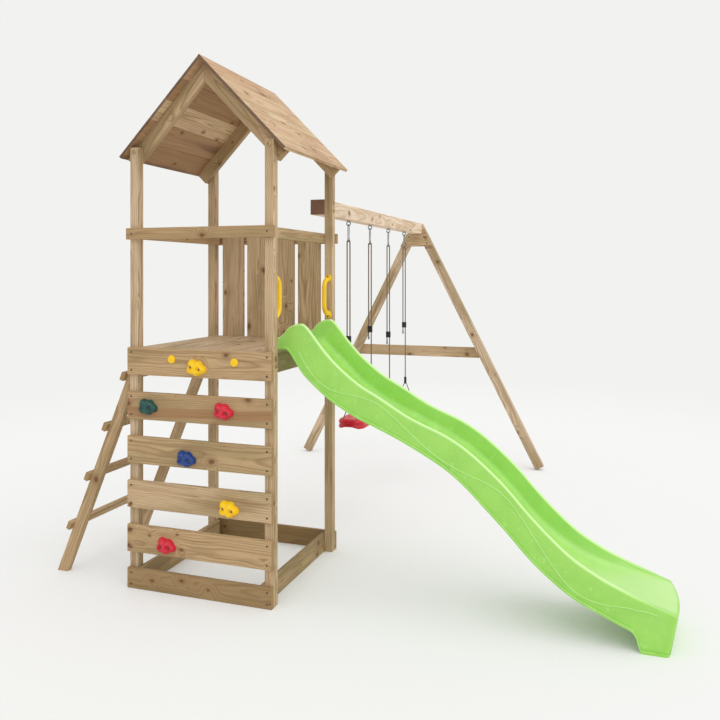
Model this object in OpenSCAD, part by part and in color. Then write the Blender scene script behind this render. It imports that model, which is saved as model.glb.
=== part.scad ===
// Wooden play tower with a climbing wall, a ladder, a wave slide and a double swing.
// X runs along the climbing wall towards the slide, Y runs back along the swing beam, Z is up.
// The origin is on the ground, at the middle of the whole frame's footprint.
// The tower's own places count from its middle in X, its front post faces in Y and the ground.

/* [Tower] */
// Width over the posts, along the climbing wall
tower_w = 816; // [760:1:960]
// Depth over the posts, along the swing beam
tower_d = 843; // [800:1:960]
// Side of each square post
post_w = 48; // [42:1:56]
// Height of the posts
post_h = 2265; // [2200:5:2500]
// Height of the platform's floor
platform_h = 1235; // [1200:5:1300]
// Rounding of the long edges of planed timber
edge_r = 3; // [1:0.5:5]

/* [Boards] */
// Width of the wall, floor and panel boards
board_w = 140; // [126:1:145]
// Thickness of the boards and rails
board_t = 24; // [18:1:28]
// Gap under the lowest climbing board
climb_gap = 83; // [60:1:95]
// Height of the boards around the sandpit
sand_h = 104; // [80:1:130]
// Height of the guard rails
rail_h = 58; // [45:1:70]
// Gap between the guard rails and the swing beam above them
rail_gap = 111; // [60:1:180]
// How far the front and back rails pass the posts
rail_over = 9; // [0:1:25]
// Gap between the boards of the back panel
panel_gap = 27; // [12:1:34]
// Gap between the back panel and the posts
panel_side = 39.5; // [36:0.5:60]
// Gap between the floor planks
floor_gap = 5; // [2:1:10]
// Height of the timbers that carry the platform
bearer_h = 95; // [80:1:110]
// Thickness of the side bearers
bearer_t = 34; // [26:1:38]
// Thickness of the cross joists
joist_t = 45; // [30:1:60]

/* [Roof] */
// Slope of the roof in degrees
roof_pitch = 46; // [42:1:50]
// Depth of a rafter
rafter_h = 70; // [55:1:85]
// Thickness of a rafter
rafter_t = 35; // [25:1:45]
// How far the rafters pass the posts
rafter_over = 50; // [30:1:60]
// Width of a roof plank
roof_plank_w = 132; // [120:1:145]
// Thickness of a roof plank
roof_plank_t = 16; // [12:1:20]
// Gap between two roof planks
roof_gap = 1; // [0.5:0.5:3]
// Roof overhang in front of the posts
roof_front = 5; // [0:1:40]
// Roof overhang behind the posts
roof_back = 40; // [0:1:60]

/* [Ladder] */
// Distance of the ladder's foot from the tower
ladder_run = 437; // [350:1:520]
// Depth of a ladder stringer
stringer_h = 58; // [45:1:70]
// Thickness of a ladder stringer
stringer_t = 35; // [25:1:45]
// Width of a rung batten
rung_h = 45; // [35:1:60]
// Thickness of a rung batten
rung_t = 24; // [18:1:30]
// Height of the first rung
rung_first = 255; // [200:1:280]
// Rise from one rung to the next
rung_pitch = 272; // [240:1:280]
// How far the rungs pass the stringers
rung_over = 25; // [10:1:40]

/* [Slide] */
// Width of the slide
slide_w = 460; // [420:1:520]
// How far the slide reaches out from the tower
slide_run = 1826; // [1700:1:1950]
// How far the slide's lip reaches in past the posts' outer faces
slide_lip = 78; // [65:1:95]
// Gap between the near post and the slide
slide_offset = 65; // [58:1:90]
// Wall of the moulded slide
slide_shell = 5; // [4:0.5:7]
// Width of the flange along the lower edge
slide_flange_w = 7; // [4:1:10]
// Height of the flange along the lower edge
slide_flange_h = 12; // [8:1:16]
// Width of the rim on top of the side walls
slide_rim_w = 30; // [26:1:40]
// Rounding of the rim
slide_rim_r = 12; // [8:1:13]
// Lean of each face of the side walls
slide_draft = 10; // [4:1:16]
// Radius between the bed and the side walls
slide_fillet = 45; // [30:1:60]
// Sag of the bed at its middle
slide_dish = 4; // [0:1:8]
// Bulge of the run-out's end
slide_bulge = 25; // [10:1:40]
// Lean of the wall that closes the run-out
slide_lean = 32; // [10:1:45]

/* [Handles and stones] */
// Length of a grab handle over its feet
handle_l = 252; // [220:1:280]
// Reach of the grip's middle from the post
handle_bow = 66; // [60:1:72]
// Length of the straight grip
handle_grip_l = 96; // [88:2:104]
// Radius of a handle's bends
handle_bend_r = 50; // [44:1:54]
// Thickness of the grip
handle_d = 26; // [22:1:28]
// Diameter of a handle's foot
handle_foot_d = 40; // [34:1:44]
// Thickness of a handle's foot
handle_foot_t = 9; // [6:1:12]
// Lower end of the handles above the floor
handle_rise = 121; // [100:1:160]
// How much higher the near handle sits
handle_step = 16; // [0:1:40]
// Length of a climbing stone
stone_w = 110; // [95:1:125]
// Height of a climbing stone
stone_h = 92; // [80:1:105]
// How far a climbing stone stands out
stone_t = 46; // [36:1:55]
// Diameter of a cover cap
cap_d = 42; // [36:1:50]
// Thickness of a cover cap
cap_t = 9; // [6:1:12]

/* [Swing frame] */
// Side of the square swing beam
beam_w = 88; // [80:1:96]
// How far the beam's underside lies below the posts' tops
beam_drop = 307; // [260:1:340]
// Length of the swing beam
beam_l = 2365; // [2300:5:2500]
// Width of a leg
leg_w = 70; // [60:1:85]
// Thickness of a leg
leg_t = 58; // [45:1:70]
// Spread of the legs over their feet
leg_spread = 2160; // [1900:10:2300]
// Height of each of the two cross boards under the beam
cross_h = 54; // [45:1:60]
// Height of the spreader between the legs
spreader_h = 88; // [70:1:100]
// Lower edge of the spreader
spreader_z = 899; // [700:1:1000]
// How far the spreader's ends stay inside the legs' outer edges
spreader_in = 22; // [10:1:26]

/* [Swings] */
// Middle of the first swing behind the tower
swing_first = 718; // [600:1:740]
// Distance from one swing to the next
swing_pitch = 900; // [860:1:940]
// Distance between the hangers of a swing
hang_w = 450; // [420:1:480]
// Height of the seat's top
seat_z = 670; // [560:1:760]
// How much lower the far seat is set
seat_drop = 38; // [0:1:60]
// Width of a seat from front to back
seat_w = 180; // [160:1:200]
// How far a seat passes its hangers at each end
seat_end = 25; // [22:1:35]
// Height of a seat's rolled edge
seat_h = 60; // [45:1:70]
// Wall of a seat
seat_t = 8; // [6:0.5:10]
// Rounding of a seat's corners in plan
seat_corner_r = 70; // [45:1:75]
// Rounding of a seat's top edge
seat_edge_r = 24; // [16:1:28]
// Thickness of the swing ropes
rope_d = 9; // [8:0.5:10]
// Thickness of the bridles
bridle_d = 7; // [6:0.5:8]
// Lean of a bridle's legs
bridle_angle = 22; // [18:1:25]
// Height of a bridle's pivot over the seat
bridle_h = 95; // [80:1:120]
// Heights of the rope adjusters, from the tower outwards
adjuster_z = [1187, 1224, 1153, 1199]; // [1120:1:1300]

/* [Fittings] */
// Diameter of a hanging eye, at the middle of its wire
eye_d = 26; // [24:1:30]
// Thickness of a hanging eye's wire
eye_wire = 7; // [6:0.5:8]
// Diameter of an eye's plate
eye_plate_d = 28; // [24:1:34]
// Thickness of an eye's plate
eye_plate_t = 3; // [2:0.5:4]
// Diameter of an eye's screw
eye_screw_d = 10; // [8:0.5:12]
// Length of an eye's screw
eye_screw_l = 55; // [40:1:70]
// Length of a snap hook, at the middle of its wire
snap_l = 112; // [100:1:125]
// Width of a snap hook, at the middle of its wire
snap_w = 24; // [23:1:28]
// Thickness of a snap hook's wire
snap_wire = 6; // [5:0.5:6.5]
// Length of a snap hook's gate from its pin
gate_l = 36; // [32:1:38]
// Thickness of the gate
gate_d = 4.8; // [4:0.1:5]
// Diameter of the gate's pin
gate_pin_d = 2.4; // [2:0.1:2.8]
// Width of the gate's fork
gate_fork_w = 6; // [5.5:0.1:7]
// Width of the tongue in the gate's fork
gate_tongue_w = 2.4; // [2:0.1:2.8]
// Thickness of the liner in the rope's eye
liner_t = 1; // [0.8:0.1:1.2]
// Width of the liner in the rope's eye
liner_w = 8; // [6:0.5:9]
// Length of a rope adjuster
adjuster_l = 44; // [36:1:52]
// Thickness of a rope adjuster
adjuster_d = 17; // [15:0.5:19]
// Length of rope between an adjuster and its crimp
tail_l = 26; // [15:1:40]
// Length of a rope crimp
crimp_l = 24; // [18:1:30]
// Diameter of a rope crimp
crimp_d = 12.5; // [12:0.5:15]
// Diameter of a ferrule
ferrule_d = 20; // [18:0.5:22]
// Length of a ferrule above its bridle pin
ferrule_l = 48; // [42:1:56]
// Length of a ferrule below its bridle pin
ferrule_drop = 6; // [5:0.5:7]
// Web between a ferrule's slot and its rope
ferrule_web = 4; // [3:0.5:6]
// Diameter of a ferrule's bridle pin
bridle_pin_d = 6; // [5:0.5:7]
// Diameter of the knots under a seat
knot_d = 14; // [12:0.5:16]

/* [Fasteners] */
// Diameter of a wood screw's head
screw_head_d = 10; // [8:0.5:12]
// Height of a wood screw's head
screw_head_h = 2; // [1.5:0.1:3]
// Diameter of a wood screw's shank
screw_d = 5; // [4:0.5:6]
// Length of a wood screw's shank
screw_l = 44; // [40:1:46]
// Distance of the screws from the edges of a board
screw_edge = 24; // [20:1:26]
// Diameter of a coach bolt's head
bolt_head_d = 22; // [18:1:26]
// Height of a coach bolt's head
bolt_head_h = 5; // [4:0.5:7]
// Diameter of a coach bolt
bolt_d = 10; // [8:0.5:12]
// Length of a coach bolt
bolt_l = 120; // [100:1:128]
// Distance between paired bolts
bolt_pitch = 46; // [40:1:54]

/* [Hidden] */
$fn = 32;

// Clearance between pieces that lie close without touching
fit = 0.3;
// Clearance of a pin in its bore
pin_fit = 0.06;
// Overrun of a cut past the face that it opens
cut = 1;

// Colours
timber_c = "#c6a67a";
roof_c = "#cfae84";
lime_c = "#8fd45a";
yellow_c = "#ffc81e";
red_c = "#d21f35";
green_c = "#1e5e55";
blue_c = "#1f4fa8";
steel_c = "#a9adb0";
black_c = "#1b1b1c";
rope_c = "#7b6b62";

// Tower
beam_z = post_h - beam_drop;
clear_w = tower_w - 2 * post_w;
post_in_x = clear_w / 2;
back_in_y = tower_d - post_w;
floor_under = platform_h - board_t;
rail_z = beam_z - rail_gap - rail_h;
rail_top = rail_z + rail_h;
panel_y = tower_d - board_t;
climb_count = 5;
climb_pitch = (platform_h - sand_h - climb_gap - board_w) / (climb_count - 1);
panel_count = 4;
floor_count = 5;
joist_count = 3;
panel_w = clear_w - 2 * panel_side;
panel_board_w = (panel_w - (panel_count - 1) * panel_gap) / panel_count;
floor_plank_w = (clear_w - (floor_count - 1) * floor_gap) / floor_count;
floor_l = panel_y - floor_gap;

// Roof
roof_count = 5;
roof_step = roof_plank_w + roof_gap;
roof_apex = post_h + fit + tan(roof_pitch) * tower_w / 2;
ridge_drop = fit + roof_plank_t * max(0, 1 / tan(2 * roof_pitch));
ridge_lap = roof_plank_t * tan(roof_pitch) + ridge_drop;
ridge_cut = fit / 2 / cos(roof_pitch);

// Ladder
ladder_top = floor_under - bearer_h / 2;
ladder_angle = atan((tower_w / 2 + ladder_run - post_in_x) / ladder_top);
ladder_foot_x = -tower_w / 2 - ladder_run;
stringer_x = stringer_h / cos(ladder_angle);
rung_count = 4;

// Slide: each row holds a place along the run as a share of its length, then the heights
// of the rim, of the bed and of the lower edge as shares of the platform's height.
slide_shares = [
  [0.000, 1.040, 1.008, 1.000], [0.028, 1.054, 1.008, 1.000], [0.052, 1.090, 1.005, 1.000],
  [0.077, 1.104, 0.990, 0.950], [0.100, 1.095, 0.960, 0.902], [0.146, 1.010, 0.893, 0.839],
  [0.188, 0.944, 0.834, 0.793], [0.246, 0.875, 0.772, 0.745], [0.304, 0.825, 0.728, 0.708],
  [0.383, 0.756, 0.676, 0.653], [0.470, 0.700, 0.610, 0.580], [0.523, 0.653, 0.555, 0.518],
  [0.573, 0.593, 0.488, 0.444], [0.623, 0.522, 0.410, 0.368], [0.688, 0.415, 0.305, 0.264],
  [0.768, 0.303, 0.222, 0.167], [0.835, 0.240, 0.184, 0.117], [0.880, 0.208, 0.172, 0.087],
  [0.912, 0.187, 0.165, 0.062], [0.928, 0.178, 0.161, 0.000], [0.950, 0.165, 0.154, 0.000],
  [0.975, 0.150, 0.146, 0.000], [1.000, 0.136, 0.136, 0.000]];
slide_steps = 2;
slide_bulge_share = 0.9;
slide_stations = (len(slide_shares) - 1) * slide_steps + 1;
slide_x0 = tower_w / 2 - slide_lip;
slide_len = slide_lip + slide_run - slide_bulge - slide_shell;
slide_y = post_w + slide_offset + slide_w / 2;

// Stones: each has its board, its place along the board as a share of the clear width,
// its drop from the board's middle as a share of the board and its turn in degrees.
stone_yellow_shares = [[1, 0.00, 0.15, 12], [4, 0.25, 0.16, 10]];
stone_red_shares = [[2, 0.21, 0.01, 14], [5, -0.24, 0.11, 6]];
stone_green_shares = [[2, -0.39, 0.02, 4]];
stone_blue_shares = [[3, -0.08, 0.16, 8]];
cap_shares = [[-0.20, 0.12], [0.29, 0.10]];
stone_bolt_share = 0.22;
stone_back_share = 0.42;
stone_crown_share = 0.24;

// Swing frame
beam_x = post_in_x - beam_w / 2;
beam_top = beam_z + beam_w;
beam_end = back_in_y + beam_l;
leg_y = beam_end - leg_t;
leg_angle = atan((leg_spread - beam_w) / 2 / beam_top);
leg_x = leg_w / cos(leg_angle);
leg_heel = leg_w * sin(leg_angle);

// Swings
eye_in_r = (eye_d - eye_wire) / 2;
axis_z = beam_z - eye_plate_t - (eye_d + eye_wire) / 2;
snap_top = axis_z - eye_in_r + snap_wire / 2 + fit;
snap_low = snap_top - snap_l;
snap_side = snap_w / 2;
gate_pin_z = snap_low + snap_side + snap_wire;
nose_z = gate_pin_z + gate_l + fit;
liner_rise = snap_side - sqrt(pow(snap_side, 2) - pow(liner_w / 2, 2));
liner_r = snap_wire / 2 + fit + liner_rise;
strand_x = liner_r + liner_t + fit + rope_d / 2;
bridle_r = bridle_pin_d / 2 + fit + bridle_d / 2;
bridle_leg = (bridle_h + seat_t + bridle_r * sin(bridle_angle)) / cos(bridle_angle);
ferrule_slot = bridle_d / 2 + fit;
ferrule_roof = bridle_r + bridle_d / 2 + fit;

// Origin
x_low = ladder_foot_x - stringer_x;
x_high = tower_w / 2 + slide_run;
y_low = -board_t - stone_t;
y_high = beam_end + board_t + screw_head_h;
origin = [(x_low + x_high) / 2, (y_low + y_high) / 2, 0];

// Middle of the handle that looks towards side
function handle_z(side) = platform_h + handle_rise + handle_l / 2 + (side > 0 ? handle_step : 0);

// Heights of a swing's seat and of the pins that it tilts about
function seat_top(n) = seat_z - (n - 1) * seat_drop;
function pivot_z(n) = seat_top(n) + bridle_h;

// Middle of a swing, the place of a hanger and the hanger's number
function swing_y(n) = tower_d + swing_first + (n - 1) * swing_pitch;
function hanger_y(n, side) = swing_y(n) + side * hang_w / 2;
function hanger_no(n, side) = 2 * (n - 1) + (side + 1) / 2;

// Shapes that repeat

module rounded(w, h, r = edge_r) {
  translate([r, 0]) square([w - 2 * r, h]);
  translate([0, r]) square([w, h - 2 * r]);
  for (x = [r, w - r], y = [r, h - r]) translate([x, y]) circle(r);
}

// Planed timber between two corners, with its length along X, Y or Z
module timber_x(low, high) {
  size = high - low;
  translate(low) rotate([90, 0, 90]) linear_extrude(size.x) rounded(size.y, size.z);
}

module timber_y(low, high) {
  size = high - low;
  translate([low.x, high.y, low.z]) rotate([90, 0, 0]) linear_extrude(size.y)
    rounded(size.x, size.z);
}

module timber_z(low, high) {
  size = high - low;
  translate(low) linear_extrude(size.z) rounded(size.x, size.y);
}

// Outline in X and Z, cut from stock that lies between two depths
module slab(points, y0, y1) {
  translate([0, y1, 0]) rotate([90, 0, 0]) linear_extrude(y1 - y0) polygon(points);
}

// Wood screw whose head sits at the origin and whose shank runs along +Z
module screw() {
  translate([0, 0, -screw_head_h]) cylinder(d = screw_head_d, h = screw_head_h);
  cylinder(d = screw_d, h = screw_l);
}

// Coach bolt whose head sits at the origin and whose shank runs along +Z
module bolt() {
  translate([0, 0, -bolt_head_h]) cylinder(d = bolt_head_d, h = bolt_head_h);
  cylinder(d = bolt_d, h = bolt_l);
}

module screw_back(p) {
  translate(p) rotate([-90, 0, 0]) screw();
}

module screw_forward(p) {
  translate(p) rotate([90, 0, 0]) screw();
}

// Tower

module post(x, y) {
  color(timber_c) timber_z([x, y, 0], [x + post_w, y + post_w, post_h]);
}

function climb_z(i) = platform_h - board_w - (i - 1) * climb_pitch;

module front_board(z, h, over = 0) {
  color(timber_c)
    timber_x([-tower_w / 2 - over, -board_t, z], [tower_w / 2 + over, 0, z + h]);
}

module back_board(z, h, over = 0) {
  color(timber_c)
    timber_x([-tower_w / 2 - over, tower_d, z], [tower_w / 2 + over, tower_d + board_t, z + h]);
}

// Pair of boards on the inner faces of the side posts
module side_boards(z, h, t) {
  color(timber_c) for (side = [-1, 1]) {
    x = side < 0 ? -post_in_x : post_in_x - t;
    timber_y([x, 0, z], [x + t, floor_l, z + h]);
  }
}

module back_panel_boards() {
  color(timber_c) for (i = [0 : panel_count - 1]) {
    x = -panel_w / 2 + i * (panel_board_w + panel_gap);
    timber_z([x, panel_y, floor_under - bearer_h], [x + panel_board_w, tower_d, rail_top]);
  }
}

module platform_joists() {
  color(timber_c) for (i = [0 : joist_count - 1]) {
    y = i * (floor_l - joist_t) / (joist_count - 1);
    timber_x([-post_in_x + bearer_t, y, floor_under - bearer_h],
      [post_in_x - bearer_t, y + joist_t, floor_under]);
  }
}

module platform_planks() {
  color(timber_c) for (i = [0 : floor_count - 1]) {
    x = -post_in_x + i * (floor_plank_w + floor_gap);
    timber_y([x, 0, floor_under], [x + floor_plank_w, floor_l, platform_h]);
  }
}

// Roof

// Point at a distance down a slope and a height over the rafters
function roof_point(side, d, h) =
  [side * (d * cos(roof_pitch) + h * sin(roof_pitch)),
   roof_apex - d * sin(roof_pitch) + h * cos(roof_pitch)];

module rafter_pair(y) {
  d = (tower_w / 2 + rafter_over) / cos(roof_pitch);
  for (side = [-1, 1])
    slab([roof_point(side, ridge_cut, 0), roof_point(side, d, 0), roof_point(side, d, -rafter_h),
      [side * fit / 2, roof_apex - rafter_h / cos(roof_pitch) - ridge_cut * sin(roof_pitch)]],
      y, y + rafter_t);
}

module rafters() {
  color(timber_c) {
    rafter_pair(post_w);
    rafter_pair(back_in_y - rafter_t);
  }
}

// One plank: it starts at a distance down the slope and passes that start by a length
module roof_plank(side, start, up) {
  first = start - up;
  last = start + roof_plank_w;
  slab([for (p = [[first, 0], [last, 0], [last, roof_plank_t], [first, roof_plank_t]])
      roof_point(side, p.x, p.y)], -roof_front, tower_d + roof_back);
}

module roof_slope(side, drop, lap) {
  color(roof_c) for (i = [0 : roof_count - 1])
    roof_plank(side, drop + i * roof_step, i == 0 ? lap : 0);
}

// Ladder

module ladder_stringers() {
  color(timber_c) for (y = [post_w, back_in_y - stringer_t])
    slab([[ladder_foot_x - stringer_x, 0], [ladder_foot_x, 0], [-post_in_x, ladder_top],
      [-post_in_x, floor_under],
      [ladder_foot_x - stringer_x + floor_under * tan(ladder_angle), floor_under]],
      y, y + stringer_t);
}

// Carries its children to a rung: X out of the stringers' faces, Z up along them
module at_rung(i) {
  z = rung_first + i * rung_pitch;
  translate([ladder_foot_x - stringer_x + z * tan(ladder_angle), 0, z])
    rotate([0, ladder_angle, 0]) children();
}

module ladder_rungs() {
  color(timber_c) for (i = [0 : rung_count - 1]) at_rung(i)
    timber_y([-rung_t, post_w - rung_over, -rung_h / 2],
      [0, back_in_y + rung_over, rung_h / 2]);
}

// Slide

// Smooth curve through four values, between the second and the third
function smooth(a, b, c, d, t) =
  b + t * ((c - a) + t * ((2 * a - 5 * b + 4 * c - d) + t * (3 * (b - c) + d - a))) / 2;

function slide_row(i) = slide_shares[max(0, min(len(slide_shares) - 1, i))];

function slide_at(k) =
  let (i = floor(k / slide_steps), t = k / slide_steps - i)
  [for (j = [0 : 3]) max(0,
    smooth(slide_row(i - 1)[j], slide_row(i)[j], slide_row(i + 1)[j], slide_row(i + 2)[j], t))];

// Half of the upper outline, from the lower edge to the middle of the bed
function slide_upper(low, rim, bed) =
  let (face = slide_flange_w - slide_w / 2, top = face + slide_draft, inner = top + slide_rim_w,
    foot = inner + slide_draft, drop = min(slide_rim_r, (rim - bed) / 2),
    fillet = min(slide_fillet, (rim - bed) / 2))
  [[-slide_w / 2, low], [-slide_w / 2, low + slide_flange_h], [face, low + slide_flange_h],
   for (a = [0 : 45 : 90])
     [top + slide_rim_r * (1 - cos(a)), rim - drop * (1 - sin(a))],
   for (a = [90 : -45 : 0])
     [inner - slide_rim_r * (1 - cos(a)), rim - drop * (1 - sin(a))],
   for (a = [0 : 45 : 90])
     [foot + slide_fillet * (1 - cos(a)), bed + fillet * (1 - sin(a))],
   [0, bed - slide_dish * (rim - bed) / rim]];

// The same half on the underside, one wall further in
function slide_under(low, rim, bed) =
  let (face = slide_flange_w - slide_w / 2, top = face + slide_draft, inner = top + slide_rim_w,
    foot = inner + slide_draft, drop = min(slide_rim_r, (rim - bed) / 2),
    fillet = min(slide_fillet, (rim - bed) / 2), t = slide_shell, crown = rim - t)
  [[face + t, low], [face + t, low + slide_flange_h / 2], [face + t, low + slide_flange_h + t],
   for (a = [0 : 45 : 90])
     [top + slide_rim_r - (slide_rim_r - t) * cos(a),
      min(crown, rim - drop + (drop - t) * sin(a))],
   for (a = [90 : -45 : 0])
     [inner - slide_rim_r + (slide_rim_r - t) * cos(a),
      min(crown, rim - drop + (drop - t) * sin(a))],
   for (a = [0 : 45 : 90])
     [foot + slide_fillet - (slide_fillet + t) * cos(a),
      min(crown, bed + fillet - (fillet + t) * sin(a))],
   [0, bed - slide_dish * (rim - bed) / rim - t]];

function both_halves(half) =
  concat(half, [for (i = [len(half) - 2 : -1 : 0]) [-half[i].x, half[i].y]]);

// Outline on its station: towards the end of the run it bulges and leans out
function slide_place(outline, row, push) =
  let (part = pow(max(0, row[0] - slide_bulge_share) / (1 - slide_bulge_share), 2),
    x = slide_x0 + row[0] * slide_len + push, rim = row[1] * platform_h)
  [for (p = outline)
    [x + part * (slide_bulge * (1 - pow(2 * p.x / slide_w, 2)) - slide_lean * (1 - p.y / rim)),
     slide_y + p.x, p.y]];

module slide() {
  h = platform_h;
  rows = [for (k = [0 : slide_stations - 1]) slide_at(k)];
  last = rows[slide_stations - 1];
  upper = [for (r = rows) both_halves(slide_upper(r[3] * h, r[1] * h, r[2] * h))];
  under = [for (r = rows) both_halves(slide_under(r[3] * h, r[1] * h, r[2] * h))];
  s = slide_stations;
  n = len(upper[0]);
  edge = 3;
  out_end = upper[s - 1];
  in_end = under[s - 1];
  rings = concat([for (k = [0 : s - 1]) slide_place(upper[k], rows[k], 0)],
    [slide_place(out_end, last, slide_shell)],
    [for (k = [0 : s - 1]) slide_place(under[k], rows[k], 0)],
    [slide_place([for (j = [edge : n - 1 - edge]) [out_end[j].x, 0]], last, slide_shell)],
    [slide_place([for (j = [edge : n - 1 - edge]) [in_end[j].x, 0]], last, 0)]);
  points = [for (ring = rings) each ring];
  // Numbers of the points: upper face, under face, end wall's foot outside and inside
  function u(k, j) = k * n + j;
  function v(k, j) = (s + 1 + k) * n + j;
  function f(j) = (2 * s + 1) * n + j - edge;
  function g(j) = (2 * s + 2) * n + j - 3 * edge;
  function quad(a, b, c, d) = [[a, b, c], [a, c, d]];
  m = n - 1;
  faces = [
    for (k = [0 : s - 1], j = [0 : n - 2])
      each quad(u(k, j), u(k, j + 1), u(k + 1, j + 1), u(k + 1, j)),
    for (k = [0 : s - 2], j = [0 : n - 2])
      each quad(v(k, j), v(k + 1, j), v(k + 1, j + 1), v(k, j + 1)),
    for (j = [0 : n - 2])
      each quad(u(0, j), v(0, j), v(0, j + 1), u(0, j + 1)),
    for (k = [0 : s - 2])
      each concat(quad(u(k, 0), u(k + 1, 0), v(k + 1, 0), v(k, 0)),
        quad(u(k, m), v(k, m), v(k + 1, m), u(k + 1, m))),
    for (j = [edge : m - edge - 1])
      each concat(quad(u(s, j), u(s, j + 1), f(j + 1), f(j)),
        quad(v(s - 1, j), g(j), g(j + 1), v(s - 1, j + 1)),
        quad(f(j), f(j + 1), g(j + 1), g(j))),
    for (j = [1 : edge - 1])
      each [[u(s, 0), u(s, j), u(s, j + 1)], [u(s, m), u(s, m - j - 1), u(s, m - j)],
        [v(s - 1, edge), v(s - 1, j), v(s - 1, j - 1)],
        [v(s - 1, m - edge), v(s - 1, m - j + 1), v(s - 1, m - j)]],
    [u(s, 0), u(s, edge), f(edge)],
    [u(s, m), f(m - edge), u(s, m - edge)],
    [v(s - 1, 0), g(edge), v(s - 1, edge)],
    [v(s - 1, m), v(s - 1, m - edge), g(m - edge)],
    [u(s - 1, 0), u(s, 0), v(s - 1, 0)],
    [u(s - 1, m), v(s - 1, m), u(s, m)],
    each quad(u(s, 0), f(edge), g(edge), v(s - 1, 0)),
    each quad(u(s, m), v(s - 1, m), g(m - edge), f(m - edge))];
  color(lime_c) polyhedron(points, faces, convexity = len(slide_shares));
}

// Handles, stones and caps

// Half of a handle: bend, leg and foot
module handle_half() {
  translate([0, handle_bow - handle_bend_r, handle_grip_l / 2]) {
    rotate([90, 0, 90])
      rotate_extrude(angle = 90) translate([handle_bend_r, 0]) circle(d = handle_d);
    translate([0, 0, handle_bend_r]) rotate([90, 0, 0]) cylinder(d = handle_d, h = handle_bow);
  }
  translate([0, 0, (handle_l - handle_foot_d) / 2])
    rotate([-90, 0, 0]) cylinder(d = handle_foot_d, h = handle_foot_t);
}

// Bow handle on a post's face at y that looks towards side
module grab_handle(y, side) {
  translate([post_in_x + post_w / 2, y, handle_z(side)]) rotate([0, 0, side < 0 ? 180 : 0])
    intersection() {
      union() {
        translate([0, handle_bow, -handle_grip_l / 2]) cylinder(d = handle_d, h = handle_grip_l);
        handle_half();
        rotate([0, 180, 0]) handle_half();
      }
      translate([-handle_foot_d / 2, 0, -handle_l / 2])
        cube([handle_foot_d, handle_bow + handle_d, handle_l]);
    }
}

module grab_handles() {
  color(yellow_c) {
    grab_handle(post_w, 1);
    grab_handle(back_in_y, -1);
  }
}

// Carries its children to a stone's place on the front of its board, Z out of the board
module at_stone(row) {
  translate([row[1] * clear_w, -board_t, climb_z(row[0]) + board_w * (1 / 2 - row[2])])
    rotate([90, row[3], 0]) children();
}

// Rounded stone: a wide back that tapers to a crown
module stone() {
  back_r = stone_t * stone_back_share;
  crown_r = stone_t * stone_crown_share;
  intersection() {
    hull() {
      for (x = [-1, 1], y = [-1, 1])
        translate([x * (stone_w / 2 - back_r), y * (stone_h / 2 - back_r) * (x < 0 ? 1 : 1 / 2), 0])
          sphere(back_r);
      for (x = [-1, 1]) translate([x * stone_w / 4, 0, stone_t - crown_r])
        sphere(crown_r);
    }
    translate([-stone_w, -stone_h, 0]) cube([2 * stone_w, 2 * stone_h, stone_t]);
  }
}

module stones(rows) {
  for (row = rows) at_stone(row) stone();
}

module stone_bolts() {
  color(steel_c)
    for (row = concat(stone_yellow_shares, stone_red_shares, stone_green_shares, stone_blue_shares),
        x = [-1, 1])
      at_stone(row) translate([x * stone_w * stone_bolt_share, 0, stone_t - fit])
        rotate([180, 0, 0]) translate([0, 0, screw_head_h]) {
          translate([0, 0, -screw_head_h]) cylinder(d = screw_head_d, h = screw_head_h);
          cylinder(d = screw_d, h = stone_t + board_t / 2);
        }
}

module cover_caps() {
  color(yellow_c) for (row = cap_shares)
    translate([row[0] * clear_w, -board_t, climb_z(1) + board_w * (1 / 2 + row[1])])
      rotate([90, 0, 0]) {
        cylinder(d = cap_d, h = cap_t / 2);
        translate([0, 0, cap_t / 2]) cylinder(d1 = cap_d, d2 = cap_d * 2 / 3, h = cap_t / 2);
      }
}

// Swing frame

module swing_beam() {
  color(timber_c) timber_y([beam_x - beam_w / 2, back_in_y, beam_z],
    [beam_x + beam_w / 2, beam_end, beam_top]);
}

// How far a leg's outer edge lies from the beam's middle at a height
function leg_out(z) = beam_w / 2 + (beam_top - z) * tan(leg_angle);

module leg(side) {
  color(timber_c) translate([beam_x, 0, 0])
    slab([for (p = [[beam_w / 2, beam_top], [leg_out(leg_heel), leg_heel], [leg_out(0) - leg_x, 0],
        [beam_w / 2, beam_top - leg_w / sin(leg_angle)]]) [side * p.x, p.y]], leg_y, beam_end);
}

// Board across both legs with its ends cut along their outer edges, or inside them
module cross_board(z, h, y0, inset) {
  a = leg_out(z) - inset;
  b = leg_out(z + h) - inset;
  color(timber_c) translate([beam_x, 0, 0])
    slab([[-a, z], [a, z], [b, z + h], [-b, z + h]], y0, y0 + board_t);
}

module leg_cross_boards() {
  for (i = [1, 2]) cross_board(beam_z - i * cross_h, cross_h - fit, leg_y - board_t, 0);
}

module hanging_eyes() {
  color(steel_c) for (n = [1, 2], side = [-1, 1]) translate([beam_x, hanger_y(n, side), 0]) {
    translate([0, 0, axis_z]) rotate([90, 0, 0])
      rotate_extrude() translate([eye_d / 2, 0]) circle(d = eye_wire);
    translate([0, 0, beam_z - eye_plate_t - eye_wire / 2])
      cylinder(d = eye_screw_d, h = eye_plate_t + eye_wire / 2 + eye_screw_l);
    translate([0, 0, beam_z - eye_plate_t]) cylinder(d = eye_plate_d, h = eye_plate_t);
  }
}

// Fasteners

// Two screws in each end of a board of height h whose lower edge is at z
module end_screws(z, h) {
  for (x = [-1, 1], dz = [screw_edge, h - screw_edge])
    screw_back([x * (tower_w - post_w) / 2, -board_t, z + dz]);
}

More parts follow.
